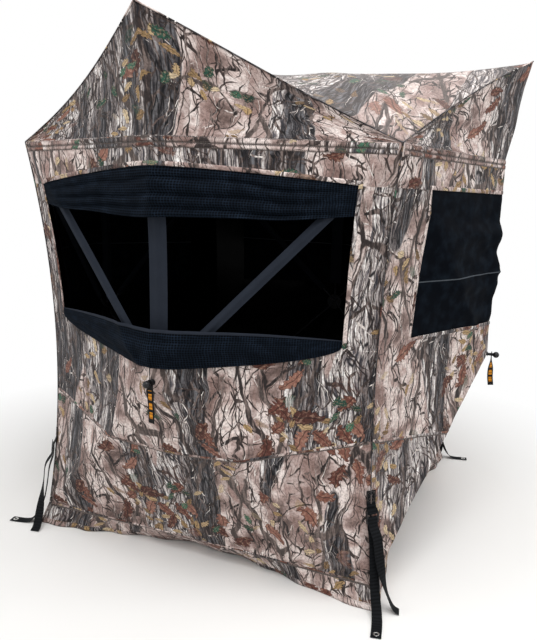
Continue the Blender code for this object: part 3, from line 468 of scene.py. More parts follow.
def barred_webbing(tree):
    """Pull tab webbing: black, with plain gold bars woven down its middle."""
    uv = where(tree)
    axes = axes_of(tree, uv)
    aside = calc(tree, "ABSOLUTE", axes[0])
    step = calc(tree, "PINGPONG", axes[1], 0.016)
    bar = product(tree, fade(tree, aside, 0.0078, 0.0070), fade(tree, step, 0.0045, 0.0055))
    ends = product(tree, fade(tree, axes[1], -0.024, -0.027), fade(tree, axes[1], -0.124, -0.121))
    rows = ribs(tree, uv, 0.002, "Y")
    tone = over(tree, own("webbing"), own("bar"), product(tree, bar, ends))
    tone = over(tree, tone, rgba("#b8b0a8"), rows, "MULTIPLY")
    shader(tree, {"Base Color": tone, "Roughness": 0.65, "Specular IOR Level": 0.15}, rows, 0.0005, 0.6)


def satin_nylon(tree):
    """Black injection-moulded nylon: satin with a fine spark-eroded grain."""
    at = where(tree, "Object")
    grain = speckle(tree, at, 0.0012, space="3D")
    scuff = speckle(tree, at, 0.02, 4.0, space="3D")
    tone = mottled(tree, "nylon", "#1c1d20", scuff, 0.5, 0.75)
    shader(tree, {"Base Color": tone, "Roughness": calc(tree, "MULTIPLY_ADD", scuff, 0.25, 0.30),
                  "Specular IOR Level": 0.35}, grain, 0.0002, 0.35)


def fibreglass(tree):
    """Pultruded fibreglass rod: dark grey, glossy resin with fine glass strands in it."""
    strands = speckle(tree, where(tree, "Object"), 0.003, 3.0, space="3D")
    tone = mottled(tree, "rod", "#5a5e66", strands, 0.55, 0.75)
    shader(tree, {"Base Color": tone, "Roughness": 0.35, "IOR": 1.55}, strands, 0.0002, 0.3)


def nickel_steel(tree):
    """Nickel-plated pressed steel: bright, with small dull rub marks."""
    rub = speckle(tree, where(tree, "Object"), 0.004, 4.0, space="3D")
    tone = mottled(tree, "steel", "#8d8b86", rub, 0.55, 0.8)
    shader(tree, {"Base Color": tone, "Roughness": calc(tree, "MULTIPLY_ADD", rub, 0.3, 0.12),
                  "Metallic": 1.0})


def thread_and_painted_shadow(tree):
    """Bonded polyester thread: brown, dull, twisted; also laid as the dark lines of painted shadow under
    the bands and seams.
    """
    twist = speckle(tree, where(tree, "Object"), 0.0015, space="3D")
    tone = mottled(tree, "thread", "#7d6f68", twist, 0.45, 0.7)
    shader(tree, {"Base Color": tone, "Roughness": 0.6}, twist, 0.0002, 0.4)


def seen_directly(tree):
    """1 for what the camera sees, also in a mirror or through glass."""
    rays = add(tree, "LightPath").outputs
    seen = calc(tree, "MAXIMUM", rays["Is Camera Ray"], rays["Is Glossy Ray"])
    return calc(tree, "MAXIMUM", seen, rays["Is Transmission Ray"])


def studio_floor(tree):
    """Pale studio floor: it takes the soft shadow near the object and turns plain white further off."""
    at = where(tree, "Object")
    tone = over(tree, own("floor"), rgba("#edecea"), speckle(tree, at, 0.6, space="3D"))
    near = add(tree, "BsdfPrincipled", {"Base Color": tone, "Roughness": 0.9, "Specular IOR Level": 0.1})
    far = add(tree, "Emission", {"Color": (1.0, 1.0, 1.0, 1.0), "Strength": 1.0})
    off = add(tree, "VectorMath", {0: at}, operation="LENGTH").outputs["Value"]
    mask = product(tree, seen_directly(tree), fade(tree, off, 1.25, 2.4))
    mixed = add(tree, "MixShader", {0: mask, 1: near.outputs[0], 2: far.outputs[0]})
    add(tree, "OutputMaterial", {"Surface": mixed.outputs[0]})


def material(finish):
    """The material of a finish, made at its first use."""
    found = bpy.data.materials.get(finish.__name__)
    if found is None:
        found = bpy.data.materials.new(finish.__name__)
        found.use_nodes = True
        found.node_tree.nodes.clear()
        finish(found.node_tree)
    return found


# Shape of the cover, in the front wall's frame

def smooth_step(value, low, high):
    share = min(1.0, max(0.0, (value - low) / (high - low)))
    return share * share * (3 - 2 * share)


def bell(value, width):
    """1 at zero, falling off to both sides over a width."""
    return exp(-(value / width) ** 2)


def rough(x, y, *layers):
    """Noise in layers, each with its share, its rates along x and y, and its own depth."""
    return sum(share * noise.noise((x * across, y * up, depth)) for share, across, up, depth in layers)


def uneven_wave(u, seed, pitch, wander, rate, layer):
    """A wave along u whose pitch wanders."""
    return sin(2 * pi * u / pitch + wander * noise.noise((u * rate, seed, layer)))


def quarter(index):
    return Matrix.Rotation(index * pi / 2, 4, "Z")


def local(u, out, z):
    return Vector((u, -out, z))


def corner_edge(z):
    """Half width between the drawn-in corner edges at height z."""
    share = (z - SEAM_Z) / (EAVE_Z - SEAM_Z)
    return FOOT + (CORNER - FOOT) * share - EDGE_BOW / sqrt(2) * 4 * share * (1 - share)


def ridge(share, sign=1.0):
    """A point on the ridge from the peak (share 0) to a corner (share 1)."""
    u, out = CORNER * share, PEAK_OUT + (CORNER - PEAK_OUT) * share
    drawn = 1.0 - RIDGE_BOW * 4 * share * (1 - share) / hypot(u, out)
    return local(sign * u * drawn, out * drawn, PEAK_Z + (EAVE_Z - PEAK_Z) * share)


def eave(u):
    return local(u, EAVE_MID + (CORNER - EAVE_MID) * abs(u) / CORNER, EAVE_Z)


def skirt_seam(u):
    return local(u * FOOT / CORNER, FOOT, SEAM_Z)


def hem(u):
    share = sin(pi / 2 * min(1.0, abs(u) / CORNER)) ** 2
    reach = FOOT + SKIRT_FLARE
    return local(u * reach / CORNER, FOOT + SKIRT_FLARE * share - SKIRT_TUCK * (1 - share), HEM_Z)


def hub_reach(u, z):
    """0 at the hub and 1 at the wall's rim, linear along the cloth between them."""
    if not SEAM_Z < z < EAVE_Z:
        return 1.0
    return min(1.0, max(abs(u) / CORNER, (z - HUB_Z) / (EAVE_Z - HUB_Z), (HUB_Z - z) / (HUB_Z - SEAM_Z)))


def hub_share(u, z, index):
    """Share of the hub's travel: that of the rods, so that no tip comes through.

    The cloth round the doorway keeps the even share that the doorway itself turns by.
    """
    reach = hub_reach(u, z)
    on_rods = min(1.0, max(0.0, (TIP_AT - reach) / (TIP_AT - PIVOT_AT)))
    if SIDES[index] != "back" or z > HUB_Z:
        return on_rods
    beside = abs(abs(u) - CORNER * (HUB_Z - z) / (HUB_Z - SEAM_Z))
    return on_rods + (1 - reach - on_rods) * smooth_step(beside, 0.015, 0.055)


def wall_point(u, z):
    """The stretched cloth over a point of the flat pattern: skirt, wall over the hub, and gable."""
    side = 1.0 if u >= 0 else -1.0
    if z >= EAVE_Z:
        return eave(u).lerp(ridge(min(1.0, abs(u) / CORNER), side), (z - EAVE_Z) / (PEAK_Z - EAVE_Z))
    if z <= SEAM_Z:
        return skirt_seam(u).lerp(hem(u), (SEAM_Z - z) / SEAM_Z)
    hub = local(0.0, HUB_OUT, HUB_Z)
    reach = hub_reach(u, z)
    if reach < 1e-6:
        return hub
    if abs(u) / CORNER >= reach - 1e-9:
        height = HUB_Z + (z - HUB_Z) / reach
        edge = corner_edge(height)
        rim = local(side * edge, edge, height)
    else:
        rim = eave(u / reach) if z > HUB_Z else skirt_seam(u / reach)
    return hub.lerp(rim, reach)


def lower_seam(u):
    """Height of the seam that crosses the wall below its hub."""
    return LOWER_SEAM_Z + LOWER_SEAM_RISE * (abs(u) / CORNER) ** 1.3


def head_rise(u, index):
    """How far a window's upper edge is drawn up: only the front one, most in its middle."""
    if index:
        return 0.0
    return HEAD_RISE - (HEAD_RISE if u > 0 else 1.5 * HEAD_RISE) * min(1.0, abs(u) / HEAD_HALF) ** 1.5


def relief(u, z, index):
    """How far the cloth stands out of its stretched shape: sag between the rods, folds and puckers."""
    size = sizes()
    hold = 1 - min(1.0, abs(u) / CORNER) ** 8
    seed = 5.3 * index
    lift = size.crinkle * rough(u, z, (1.0, 6.5, 5.0, seed), (0.5, 16.0, 13.0, seed + 2.0)) * hold
    gather = uneven_wave(u, seed, *GATHERS) * size.pucker * hold
    if z >= EAVE_Z:
        rise = min(1.0, (z - EAVE_Z) / (PEAK_Z - EAVE_Z))
        slack = 4 * rise * (1 - rise) * hold
        fold = noise.noise((u * 5.0 + 4.0 * rise, rise * 2.0 - u * 1.5, seed + 7.0))
        lift = lift * smooth_step(1 - rise, 0.0, 0.25) - size.sag * slack * (1 - bell(u, 0.09))
        return lift + GABLE_FOLD * slack * fold + 0.25 * gather * bell(rise, 0.12)
    if z <= SEAM_Z:
        return lift + size.flute * (SEAM_Z - z) / SEAM_Z * uneven_wave(u, seed, *FLUTES) * hold
    reach = hub_reach(u, z)
    up = (z - HUB_Z) / (EAVE_Z - HUB_Z if z > HUB_Z else HUB_Z - SEAM_Z)
    angle = atan2(up, u / CORNER)
    sector = (angle / (pi / 2) + 0.5) % 1.0
    if pi / 4 < angle < 3 * pi / 4:
        sector = 2 * sector % 1.0
    slack = 16 * sector * (1 - sector) * reach * (1 - reach)
    pull = sin(11 * angle + 3 * noise.noise((reach * 3, angle, seed))) * bell(reach, 0.30)
    streak = noise.noise((angle * 4.2, reach * 1.6, seed + 3.0)) * smooth_step(reach, 0.15, 0.5)
    lift = lift * smooth_step(reach, 0.05, 0.25) - size.sag * slack
    lift += (HUB_PULL * pull * smooth_step(reach, 0.03, 0.12) + WALL_STREAK * streak) * hold
    off_band = EAVE_Z - size.band - z
    if off_band > 0:
        lift += gather * bell(off_band - 0.030, 0.035)
    lift += 0.4 * gather * bell(z - lower_seam(u), 0.030)
    return lift + SKIRT_PUCKER * uneven_wave(u, seed, *SKIRT_GATHERS) * hold * bell(z - SEAM_Z, 0.05)


def place(u, z, lift, index, soft=0.0):
    """A point of the dressed wall, lifted off the cloth; soft rounds the folds over the rods."""
    point = wall_point(u, z)
    if soft:
        reach = min(soft, (CORNER - abs(u)) / 3)
        total = sum(share for step, share in ROUNDING)
        point.y = sum(share * wall_point(u + step * reach, z).y for step, share in ROUNDING) / total
    point.y -= relief(u, z, index) + lift * SLANT
    return point


def over_rod(u):
    """What the rounding takes from the fold over the middle rod, to be given back."""
    return 0.32 * SOFT * bell(u, 0.87 * SOFT)


def roof_point(x, y):
    """The roof over a square of side 2, with folds that die out at its rim."""
    spread = max(abs(x), abs(y))
    if spread < 1e-9:
        return Vector((0.0, 0.0, ROOF_MID_Z))
    share = min(abs(x), abs(y)) / spread
    rim = ridge(share)
    along, out = rim.x, -rim.y
    plan = Vector((out, along)) if abs(x) > abs(y) else Vector((along, out))
    late = 2.0 + (ROOF_FALL - 2.0) * share
    z = ROOF_MID_Z + (rim.z - ROOF_MID_Z) * spread ** late
    angle = atan2(y, x)
    fold = rough(angle, spread, (0.6, 2.6, 2.2, 4.0)) + rough(x, y, (0.6, 4.5, 4.5, 9.0))
    z += sizes().roof_fold * (1 - spread ** 6) * (fold - 0.25)
    # The cloth hangs a little unevenly on either side of each valley
    z -= ROOF_SLACK * sin(4 * angle) * 4 * spread ** 2 * (1 - spread ** 2)
    return Vector((plan.x * spread * (1 if x >= 0 else -1), plan.y * spread * (1 if y >= 0 else -1), z))


def door_half(z):
    """Half width of the doorway at height z."""
    return CORNER * (HUB_Z - z) / (HUB_Z - SEAM_Z) - DOOR_MARGIN


# Making pieces

def grid(bm, columns, rows, x_range, y_range):
    """A flat grid over two ranges; returns its vertices."""
    middle = Vector(((x_range[0] + x_range[1]) / 2, (y_range[0] + y_range[1]) / 2, 0.0))
    scale = Matrix.Diagonal((x_range[1] - x_range[0], y_range[1] - y_range[0], 1.0, 1.0))
    return bmesh.ops.create_grid(bm, x_segments=columns, y_segments=rows, size=0.5,
                                 matrix=Matrix.Translation(middle) @ scale, calc_uvs=False)["verts"]


def cut(bm, point, along, keep=None):
    """Cut a flat pattern along a line; keep limits the cut to some of its faces."""
    faces = [face for face in bm.faces if keep is None or keep(face.calc_center_median())]
    edges = {edge for face in faces for edge in face.edges}
    verts = {vert for face in faces for vert in face.verts}
    bmesh.ops.bisect_plane(bm, geom=faces + list(edges) + list(verts), dist=2e-4,
                           plane_co=(point[0], point[1], 0.0), plane_no=(-along[1], along[0], 0.0))


def drop_faces(bm, inside):
    doomed = [face for face in bm.faces if inside(face.calc_center_median())]
    bmesh.ops.delete(bm, geom=doomed, context="FACES")


def close_holes(bm, sides):
    bmesh.ops.holes_fill(bm, edges=[edge for edge in bm.edges if edge.is_boundary], sides=sides)
    bmesh.ops.recalc_face_normals(bm, faces=bm.faces)


def lay_print(bm, shift=None, scale=(1.0, 1.0)):
    """UV map in metres of the flat pattern; shift moves the print from panel to panel."""
    layer = bm.loops.layers.uv.new("print")
    for face in bm.faces:
        moved = shift(face.calc_center_median()) if shift else Vector((0.0, 0.0))
        for loop in face.loops:
            u, v = loop.vert.co.xy
            loop[layer].uv = Vector((u * scale[0], v * scale[1])) + moved


def drape(bm, index, soft=0.0):
    """Take a flat pattern (u, z, lift) onto a wall, and keep each point's share of the hub's travel."""
    share = bm.verts.layers.float.new("hub_share")
    turn = quarter(index)
    for vert in bm.verts:
        u, z, lift = vert.co
        vert[share] = hub_share(u, z, index)
        vert.co = turn @ place(u, z, lift, index, soft)


def piece(name, bm, finishes, thickness=0.0):
    """A finished object from a bmesh; a thickness makes it a cloth with that wall."""
    mesh = bpy.data.meshes.new(name)
    bm.to_mesh(mesh)
    bm.free()
    obj = bpy.data.objects.new(name, mesh)
    bpy.context.scene.collection.objects.link(obj)
    for finish in finishes:
        mesh.materials.append(material(finish))
    mesh.shade_smooth()
    if thickness:
        wall = obj.modifiers.new("cloth", "SOLIDIFY")
        wall.thickness, wall.offset = thickness, -1.0
        wall.material_offset = len(finishes) - 1
    return obj


def follow_hub(obj):
    """Bake the cloth's placement into its mesh, and drop each point's share of the hub's travel."""
    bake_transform(obj)
    obj.data.attributes.remove(obj.data.attributes["hub_share"])
    return obj


def face_out(bm, index=None):
    """Turn an open sheet's faces outwards: away from a wall, or up where no wall is given."""
    out = Vector((0.0, 0.0, 1.0)) if index is None else quarter(index) @ Vector((0.0, -1.0, 0.0))
    bmesh.ops.recalc_face_normals(bm, faces=bm.faces)
    if sum(face.normal.dot(out) * face.calc_area() for face in bm.faces) < 0:
        bmesh.ops.reverse_faces(bm, faces=bm.faces)


def flat_area(bm):
    return sum(face.calc_area() for face in bm.faces)


def walk(route, marks):
    """Points and directions at given distances along a route."""
    found, walked = [], 0.0
    marks = list(marks)
    for start, end in zip(route, route[1:]):
        run = end - start
        while marks and marks[0] <= walked + run.length + 1e-9:
            share = (marks.pop(0) - walked) / max(run.length, 1e-9)
            found.append((start.lerp(end, min(1.0, share)), run.normalized()))
        walked += run.length
    return found


def route_length(route):
    return sum((end - start).length for start, end in zip(route, route[1:]))


def strip(bm, route, width, lift, edge=0.0):
    """A crowned strip of cloth along a route of the flat pattern."""
    last = len(route) - 1
    for vert in grid(bm, 4, last, (-0.5, 0.5), (0.0, 1.0)):
        at = round(vert.co.y * last)
        run = Vector(route[min(at + 1, last)]) - Vector(route[max(at - 1, 0)])
        side = Vector((run.y, -run.x)).normalized()
        crown = 1 - (2 * vert.co.x) ** 4
        spot = Vector(route[at]) + side * vert.co.x * width
        vert.co = (spot.x, spot.y, edge + (lift - edge) * crown)


def stitch_row(bm, route, lift):
    """A row of stitches along a route of the flat pattern, each a small raised bar."""
    size = sizes()
    route = [Vector(spot) for spot in route]
    count = int(route_length(route) / size.stitch_pitch)
    marks = [row // 2 * size.stitch_pitch + row % 2 * size.stitch for row in range(2 * count)]
    steps = walk(route, marks)
    rows = len(steps) - 1
    verts = grid(bm, 2, rows, (-0.5, 0.5), (0.0, 1.0))
    faces = {face for vert in verts for face in vert.link_faces}
    gaps = [face for face in faces if int(face.calc_center_median().y * rows) % 2]
    for vert in verts:
        spot, run = steps[round(vert.co.y * rows)]
        aside = Vector((run.y, -run.x)) * vert.co.x * STITCH_W
        height = lift if abs(vert.co.x) < 0.1 else lift - STITCH_TALL
        vert.co = (spot.x + aside.x, spot.y + aside.y, height)
    bmesh.ops.delete(bm, geom=gaps, context="FACES")


def straight(start, end):
    """Route from one point of the flat pattern to another."""
    across, up = end[0] - start[0], end[1] - start[1]
    count = max(2, ceil(hypot(across, up) / ROUTE_PITCH))
    return [(start[0] + across * step / count, start[1] + up * step / count)
            for step in range(count + 1)]


def level(z, u_range):
    return straight((u_range[0], z), (u_range[1], z))


def upright(u, z_range):
    return straight((u, z_range[0]), (u, z_range[1]))


def smooth_route(points, per_span=6):
    """Points on a smooth curve through a route's own points."""
    route = [Vector(point) for point in points]
    ends = [route[0] * 2 - route[1]] + route + [route[-1] * 2 - route[-2]]
    curve = []
    for a, b, c, d in zip(ends, ends[1:], ends[2:], ends[3:]):
        for step in range(per_span):
            t = step / per_span
            curve.append(0.5 * (2 * b + (c - a) * t + (2 * a - 5 * b + 4 * c - d) * t * t
                                + (3 * b - a - 3 * c + d) * t ** 3))
    return curve + [route[-1]]


def swept(bm, path, across, section):
    """A closed skin along a path; section points are (aside, off), across gives the aside direction."""
    last, count = len(path) - 1, len(section)
    layer = bm.loops.layers.uv.get("print") or bm.loops.layers.uv.new("print")
    verts = grid(bm, count, last, (0.0, 1.0), (0.0, 1.0))
    walked = [0.0]
    for start, end in zip(path, path[1:]):
        walked.append(walked[-1] + (end - start).length)
    spots = {vert: (round(vert.co.x * count), round(vert.co.y * last)) for vert in verts}
    for face in {face for vert in verts for face in vert.link_faces}:
        for loop in face.loops:
            column, row = spots[loop.vert]
            loop[layer].uv = (section[column % count][0], walked[row])
    for vert, (column, row) in spots.items():
        run = (path[min(row + 1, last)] - path[max(row - 1, 0)]).normalized()
        side = across(row / last)
        side = (side - run * side.dot(run)).normalized()
        aside, away = section[column % count]
        vert.co = path[row] + side * aside + side.cross(run) * away
    bmesh.ops.remove_doubles(bm, verts=verts, dist=1e-6)


def ring(radius, count):
    angles = [2 * pi * step / count for step in range(count)]
    return [(radius * cos(angle), radius * sin(angle)) for angle in angles]


def turned(bm, profile, segments, matrix, closed=False):
    """A shape turned about Z from (radius, height) points, then put in place."""
    points = [bm.verts.new((radius, 0.0, height)) for radius, height in profile]
    pairs = list(zip(points, points[1:] + points[:1]))
    edges = [bm.edges.new(pair) for pair in (pairs if closed else pairs[:-1])]
    bmesh.ops.spin(bm, geom=points + edges, cent=(0, 0, 0), axis=(0, 0, 1), angle=2 * pi, steps=segments,
                   use_merge=True)
    bmesh.ops.remove_doubles(bm, verts=bm.verts, dist=1e-6)
    bmesh.ops.recalc_face_normals(bm, faces=bm.faces)
    bm.transform(matrix)


# Camera and studio

class BLIND_OT_stage(Operator):
    """Floor, light and a camera at the photograph's angle"""
    bl_idname = "blind.stage"
    bl_label = "Stage"

    def execute(self, context):
        scene = context.scene
        scene.view_settings.view_transform = "Standard"
        bm = bmesh.new()
        grid(bm, 8, 8, (-FLOOR_HALF, FLOOR_HALF), (-FLOOR_HALF, FLOOR_HALF))
        bm.transform(Matrix.Translation((0.0, 0.0, FLOOR_Z)))
        mesh = bpy.data.meshes.new("studio_floor")
        bm.to_mesh(mesh)
        bm.free()
        mesh.materials.append(material(studio_floor))
        floor = bpy.data.objects.new("studio_floor", mesh)
        scene.collection.objects.link(floor)
        self.light_world(scene)
        for name, spot, aim, wide, watts in LAMPS:
            lamp = bpy.data.lights.new(name, "AREA")
            lamp.energy, lamp.size = watts, wide
            obj = bpy.data.objects.new(name, lamp)
            obj.location = spot
            obj.rotation_euler = (Vector(aim) - Vector(spot)).to_track_quat("-Z", "Y").to_euler()
            scene.collection.objects.link(obj)
        self.set_camera(scene)
        return {"FINISHED"}

    def light_world(self, scene):
        """Soft light all round, and plain white where the camera looks past the floor."""
        world = bpy.data.worlds.new("studio")
        scene.world = world
        world.use_nodes = True
        tree = world.node_tree
        tree.nodes.clear()
        soft, white = (add(tree, "Background", {"Color": (1.0, 1.0, 1.0, 1.0), "Strength": strength})
                       for strength in (SKY_LIGHT, 1.0))
        mixed = add(tree, "MixShader", {0: seen_directly(tree), 1: soft.outputs[0], 2: white.outputs[0]})
        add(tree, "OutputWorld", {"Surface": mixed.outputs[0]})

    def set_camera(self, scene):
        data = bpy.data.cameras.new("camera")
        camera = bpy.data.objects.new("camera", data)
        scene.collection.objects.link(camera)
        yaw, pitch, roll = (radians(turn) for turn in CAMERA_TURN)
        ahead = Vector((sin(yaw) * cos(pitch), cos(yaw) * cos(pitch), -sin(pitch)))
        level_right = Vector((cos(yaw), -sin(yaw), 0.0))
        level_up = level_right.cross(ahead)
        right = cos(roll) * level_right + sin(roll) * level_up
        turn = Matrix((right, right.cross(ahead), -ahead)).transposed().to_4x4()
        camera.matrix_world = Matrix.Translation(CAMERA_AT) @ turn
        data.sensor_width, data.lens = CAMERA_SENSOR, CAMERA_LENS
        data.shift_x, data.shift_y = CAMERA_SHIFT
        scene.camera = camera


# Staking straps, drawn at the front right corner

def corner_point(z, off):
    reach = corner_edge(z) + off / sqrt(2)
    return Vector((reach, -reach, z))


def buckle_frame():
    """Buckle's middle with its directions down the strap, across it and off the corner."""
    middle = corner_point(BUCKLE_Z, BUCKLE_OUT)
    top, foot = (corner_point(BUCKLE_Z + step, 0) for step in (BUCKLE_HALF, -BUCKLE_HALF))
    down = (foot - top).normalized()
    across = DIAGONAL.normalized()
    off = across.cross(down).normalized()
    return middle, down, across, off if off.x >= 0 else -off


def half_turn(bar, down, off, sign, radius):
    """Webbing round a bar, from the wall side past its top or bottom to the outside."""
    return [bar - off * radius * cos(pi * step / 12) + down * sign * radius * sin(pi * step / 12)
            for step in range(13)]


def strap_runs():
    """Centre lines of the strap from the buckle to its eyelet, and from the buckle to its loose end."""
    middle, down, _, off = buckle_frame()
    turn = BAR_R + BAR_GAP + WEB_THICK / 2
    leave = BUCKLE_HALF + WEB_THICK * 3
    loop = half_turn(middle, down, off, -1.0, turn)
    main = smooth_route(STRAP_ROUTE + (tuple(middle + down * leave - off * turn),)) + loop[:7]
    tail = loop[6:] + smooth_route((tuple(middle + down * leave + off * turn),) + TAIL_ROUTE)
    return list(reversed(main)), tail


def anchor_run():
    """Centre line of the sewn anchor: down the corner, round the buckle's top bar and back up."""
    middle, down, _, off = buckle_frame()
    turn = BAR_R + BAR_GAP + WEB_THICK / 2
    top_bar = middle - down * BAR_STEP
    sewn = [corner_point(STRAP_TOP_Z - step * (STRAP_TOP_Z - BUCKLE_Z) / 18, WEB_THICK / 2 + BAR_GAP)
            for step in range(10)]
    path = sewn + [top_bar - down * WEB_W / 4 - off * turn] + half_turn(top_bar, down, off, 1.0, turn)
    return path + [top_bar - down * WEB_W * step / 8 + off * turn for step in range(2, 5)]


def main_across(share):
    """Width direction of the main run: square to the diagonal above, level on the ground."""
    return DIAGONAL.lerp(Vector((1.0, 0.18, 0.0)), smooth_step(share, 0.3, 0.95))


def tail_across(share):
    return DIAGONAL.lerp(Vector((-0.2, 1.0, 0.0)), smooth_step(share, 0.35, 0.8))


def resampled(path, pitch, fine=0.0, fine_pitch=1.0):
    """A path's points at an even pitch, closer over a last stretch."""
    whole = route_length(path)
    marks, at = [], 0.0
    while at < whole - pitch / 4:
        marks.append(at)
        at += fine_pitch if at > whole - fine else pitch
    return [spot for spot, run in walk(path, marks)] + [path[-1]]


def webbing_section(count):
    """Cross-section of webbing: flat with rounded edges."""
    half, thick = WEB_W / 2, WEB_THICK / 2
    top = [(-half + WEB_W * step / count, thick if 0 < step < count else thick * 0.3)
           for step in range(count + 1)]
    return top + [(aside, -off) for aside, off in reversed(top)]


class BLIND_OT_straps(Operator):
    """Staking straps with their buckles, sewn anchors and eyelets"""
    bl_idname = "blind.straps"
    bl_label = "Staking straps"

    def execute(self, context):
        main, tail = strap_runs()
        main, tail = resampled(main, WEB_PITCH, *WEB_FINE), resampled(tail, WEB_PITCH)
        eye = main[-1] + (main[-8] - main[-1]).normalized() * EYE_FROM_END
        for index, corner in enumerate(CORNERS):
            turn = quarter(index)
            ring_piece = self.eyelet(corner, turn, eye)
            strap = self.webbing(corner + "_stake_strap_run", main, main_across, 14, turn, eye)
            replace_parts(strap, corner + "_stake_strap")
            loose = self.webbing(corner + "_stake_strap_tail", tail, tail_across, 6, turn)
            self.buckle(corner, turn)
            anchor = self.webbing(corner + "_sewn_anchor", anchor_run(), lambda share: DIAGONAL, 6, turn)
            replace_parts(anchor, corner + "_strap_anchor")
            self.stitching(corner, turn)
        return {"FINISHED"}

    def cover_piece(self, name, bm, turn, finish, slot):
        bm.transform(turn)
        obj = piece(name, bm, (finish,))
        obj.data.set_sharp_from_angle(angle=radians(50))
        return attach(obj, "cover")

    def webbing(self, name, path, across, count, turn, eye=None):
        """Webbing along a path, with a hole where an eyelet goes."""
        bm = bmesh.new()
        swept(bm, path, across, webbing_section(count))
        if eye is not None:
            drop_faces(bm, lambda point: hypot(point.x - eye.x, point.y - eye.y) < EYE_HOLE_R
                       and point.z < STRAP_LAID_Z)
        close_holes(bm, 40)
        return self.cover_piece(name, bm, turn, nylon_webbing, "webbing")

    def eyelet(self, corner, turn, eye):
        grip, barrel = WEB_THICK / 2 + 0.0001, EYE_R + EYE_WALL
        face = grip + EYE_FLANGE
        upper = [(EYE_R, face - EYE_ROLL), (EYE_R + EYE_ROLL, face), (EYE_FLANGE_R - 2 * EYE_ROLL, face),
                 (EYE_FLANGE_R, face - EYE_ROLL), (EYE_FLANGE_R - EYE_ROLL, grip), (barrel, grip)]
        profile = upper + [(radius, -height) for radius, height in reversed(upper)]
        bm = bmesh.new()
        turned(bm, profile, 32, Matrix.Translation(eye), closed=True)
        obj = self.cover_piece(corner + "_eyelet", bm, turn, nickel_steel, "plated_steel")
        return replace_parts(obj, corner + "_grommet")

    def buckle(self, corner, turn):
        """Ladder-lock buckle: one moulded plate with two slots, bars standing proud and a lifted lip."""
        middle, down, across, off = buckle_frame()
        inner = WEB_W / 2 + BAR_GAP
        half_wide = inner + BUCKLE_RAIL
        columns = (-half_wide, -inner, inner, half_wide)
        rows = (-BUCKLE_HALF, -BAR_STEP + BAR_R, -BAR_R, BAR_R, BAR_STEP - BAR_R, BUCKLE_HALF)
        bm = bmesh.new()
        for vert in grid(bm, 3, 5, (-0.5, 0.5), (-0.5, 0.5)):
            column, row = round((vert.co.x + 0.5) * 3), round((vert.co.y + 0.5) * 5)
            vert.co = (columns[column], rows[row], 0.0)
        drop_faces(bm, lambda point: abs(point.x) < inner and BAR_R < abs(point.y) < BAR_STEP - BAR_R)
        raised = bmesh.ops.extrude_face_region(bm, geom=list(bm.faces))["geom"]
        for vert in (item for item in raised if isinstance(item, bmesh.types.BMVert)):
            vert.co.z = 2 * BAR_R
        bmesh.ops.translate(bm, verts=bm.verts, vec=(0.0, 0.0, -BAR_R))
        bmesh.ops.recalc_face_normals(bm, faces=bm.faces)
        for vert in bm.verts:
            if abs(vert.co.x) > inner + 1e-4:
                at_end = BUCKLE_END if abs(vert.co.y) > BAR_STEP else 1.0
                vert.co.z *= BUCKLE_DEPTH / (2 * BAR_R) * at_end
            if vert.co.y > BAR_STEP and abs(vert.co.x) < half_wide:
                vert.co.z += BUCKLE_LIP
        sharp = [edge for edge in bm.edges if edge.calc_face_angle(0.0) > radians(25)]
        bmesh.ops.bevel(bm, geom=sharp, offset=BUCKLE_ROUND, offset_type="OFFSET", affect="EDGES",
                        segments=3, profile=0.5, material=-1, clamp_overlap=True)
        bm.transform(Matrix.Translation(middle) @ Matrix((across, down, off)).transposed().to_4x4())
        bmesh.ops.recalc_face_normals(bm, faces=bm.faces)
        obj = self.cover_piece(corner + "_ladder_lock", bm, turn, satin_nylon, "moulded_nylon")
        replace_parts(obj, corner + "_buckle")

    def stitching(self, corner, turn):
        """A crossed square of stitches that holds the anchor on the corner."""
        bm = bmesh.new()
        top, low, half = STRAP_TOP_Z - TACK_IN, STRAP_TOP_Z - TACK_TALL, WEB_W / 2 - TACK_IN
        square = [(-half, top), (half, top), (half, low), (-half, low), (-half, top), (half, low)]
        for route in (square, [(half, top), (-half, low)]):
            stitch_row(bm, route, 0.0)
        for vert in bm.verts:
            aside, z, lift = vert.co
            on_edge = corner_point(z, WEB_THICK + BAR_GAP + STITCH_TALL + lift)
            vert.co = on_edge + DIAGONAL.normalized() * aside
        self.cover_piece(corner + "_anchor_stitching", bm, turn, thread_and_painted_shadow, "webbing")


# Cover

def panel_shift(index):
    """Each sewn panel is cut from another place of the print."""
    def shift(point):
        edges = (EAVE_Z, WINDOW_Z[1] + head_rise(point.x, index), lower_seam(point.x), SEAM_Z)
        panel = next((number for number, z in enumerate(edges) if point.y > z), 4)
        # The gable (panel 0) takes its print from 1.03, a dark stretch of it: painted shade for the
        # gable, which leans out and faces a little down
        return Vector((index * 2.31 + (panel * 0.67 or 1.03), index * 1.13 + panel * 0.41))
    return shift


def bend_rows(bm, index):
    """Bend the pattern's rows: one follows the seam below the hub, one the window's upper edge."""
    for vert in bm.verts:
        u, z = vert.co.xy
        for row, low, high, shift in ((LOWER_SEAM_Z, SEAM_Z, HUB_Z, lower_seam(u) - LOWER_SEAM_Z),
                                      (WINDOW_Z[1], WINDOW_Z[0], EAVE_Z, head_rise(u, index))):
            tent = min((z - low) / (row - low), (high - z) / (high - row))
            if tent > 0:
                vert.co.y = z + shift * tent


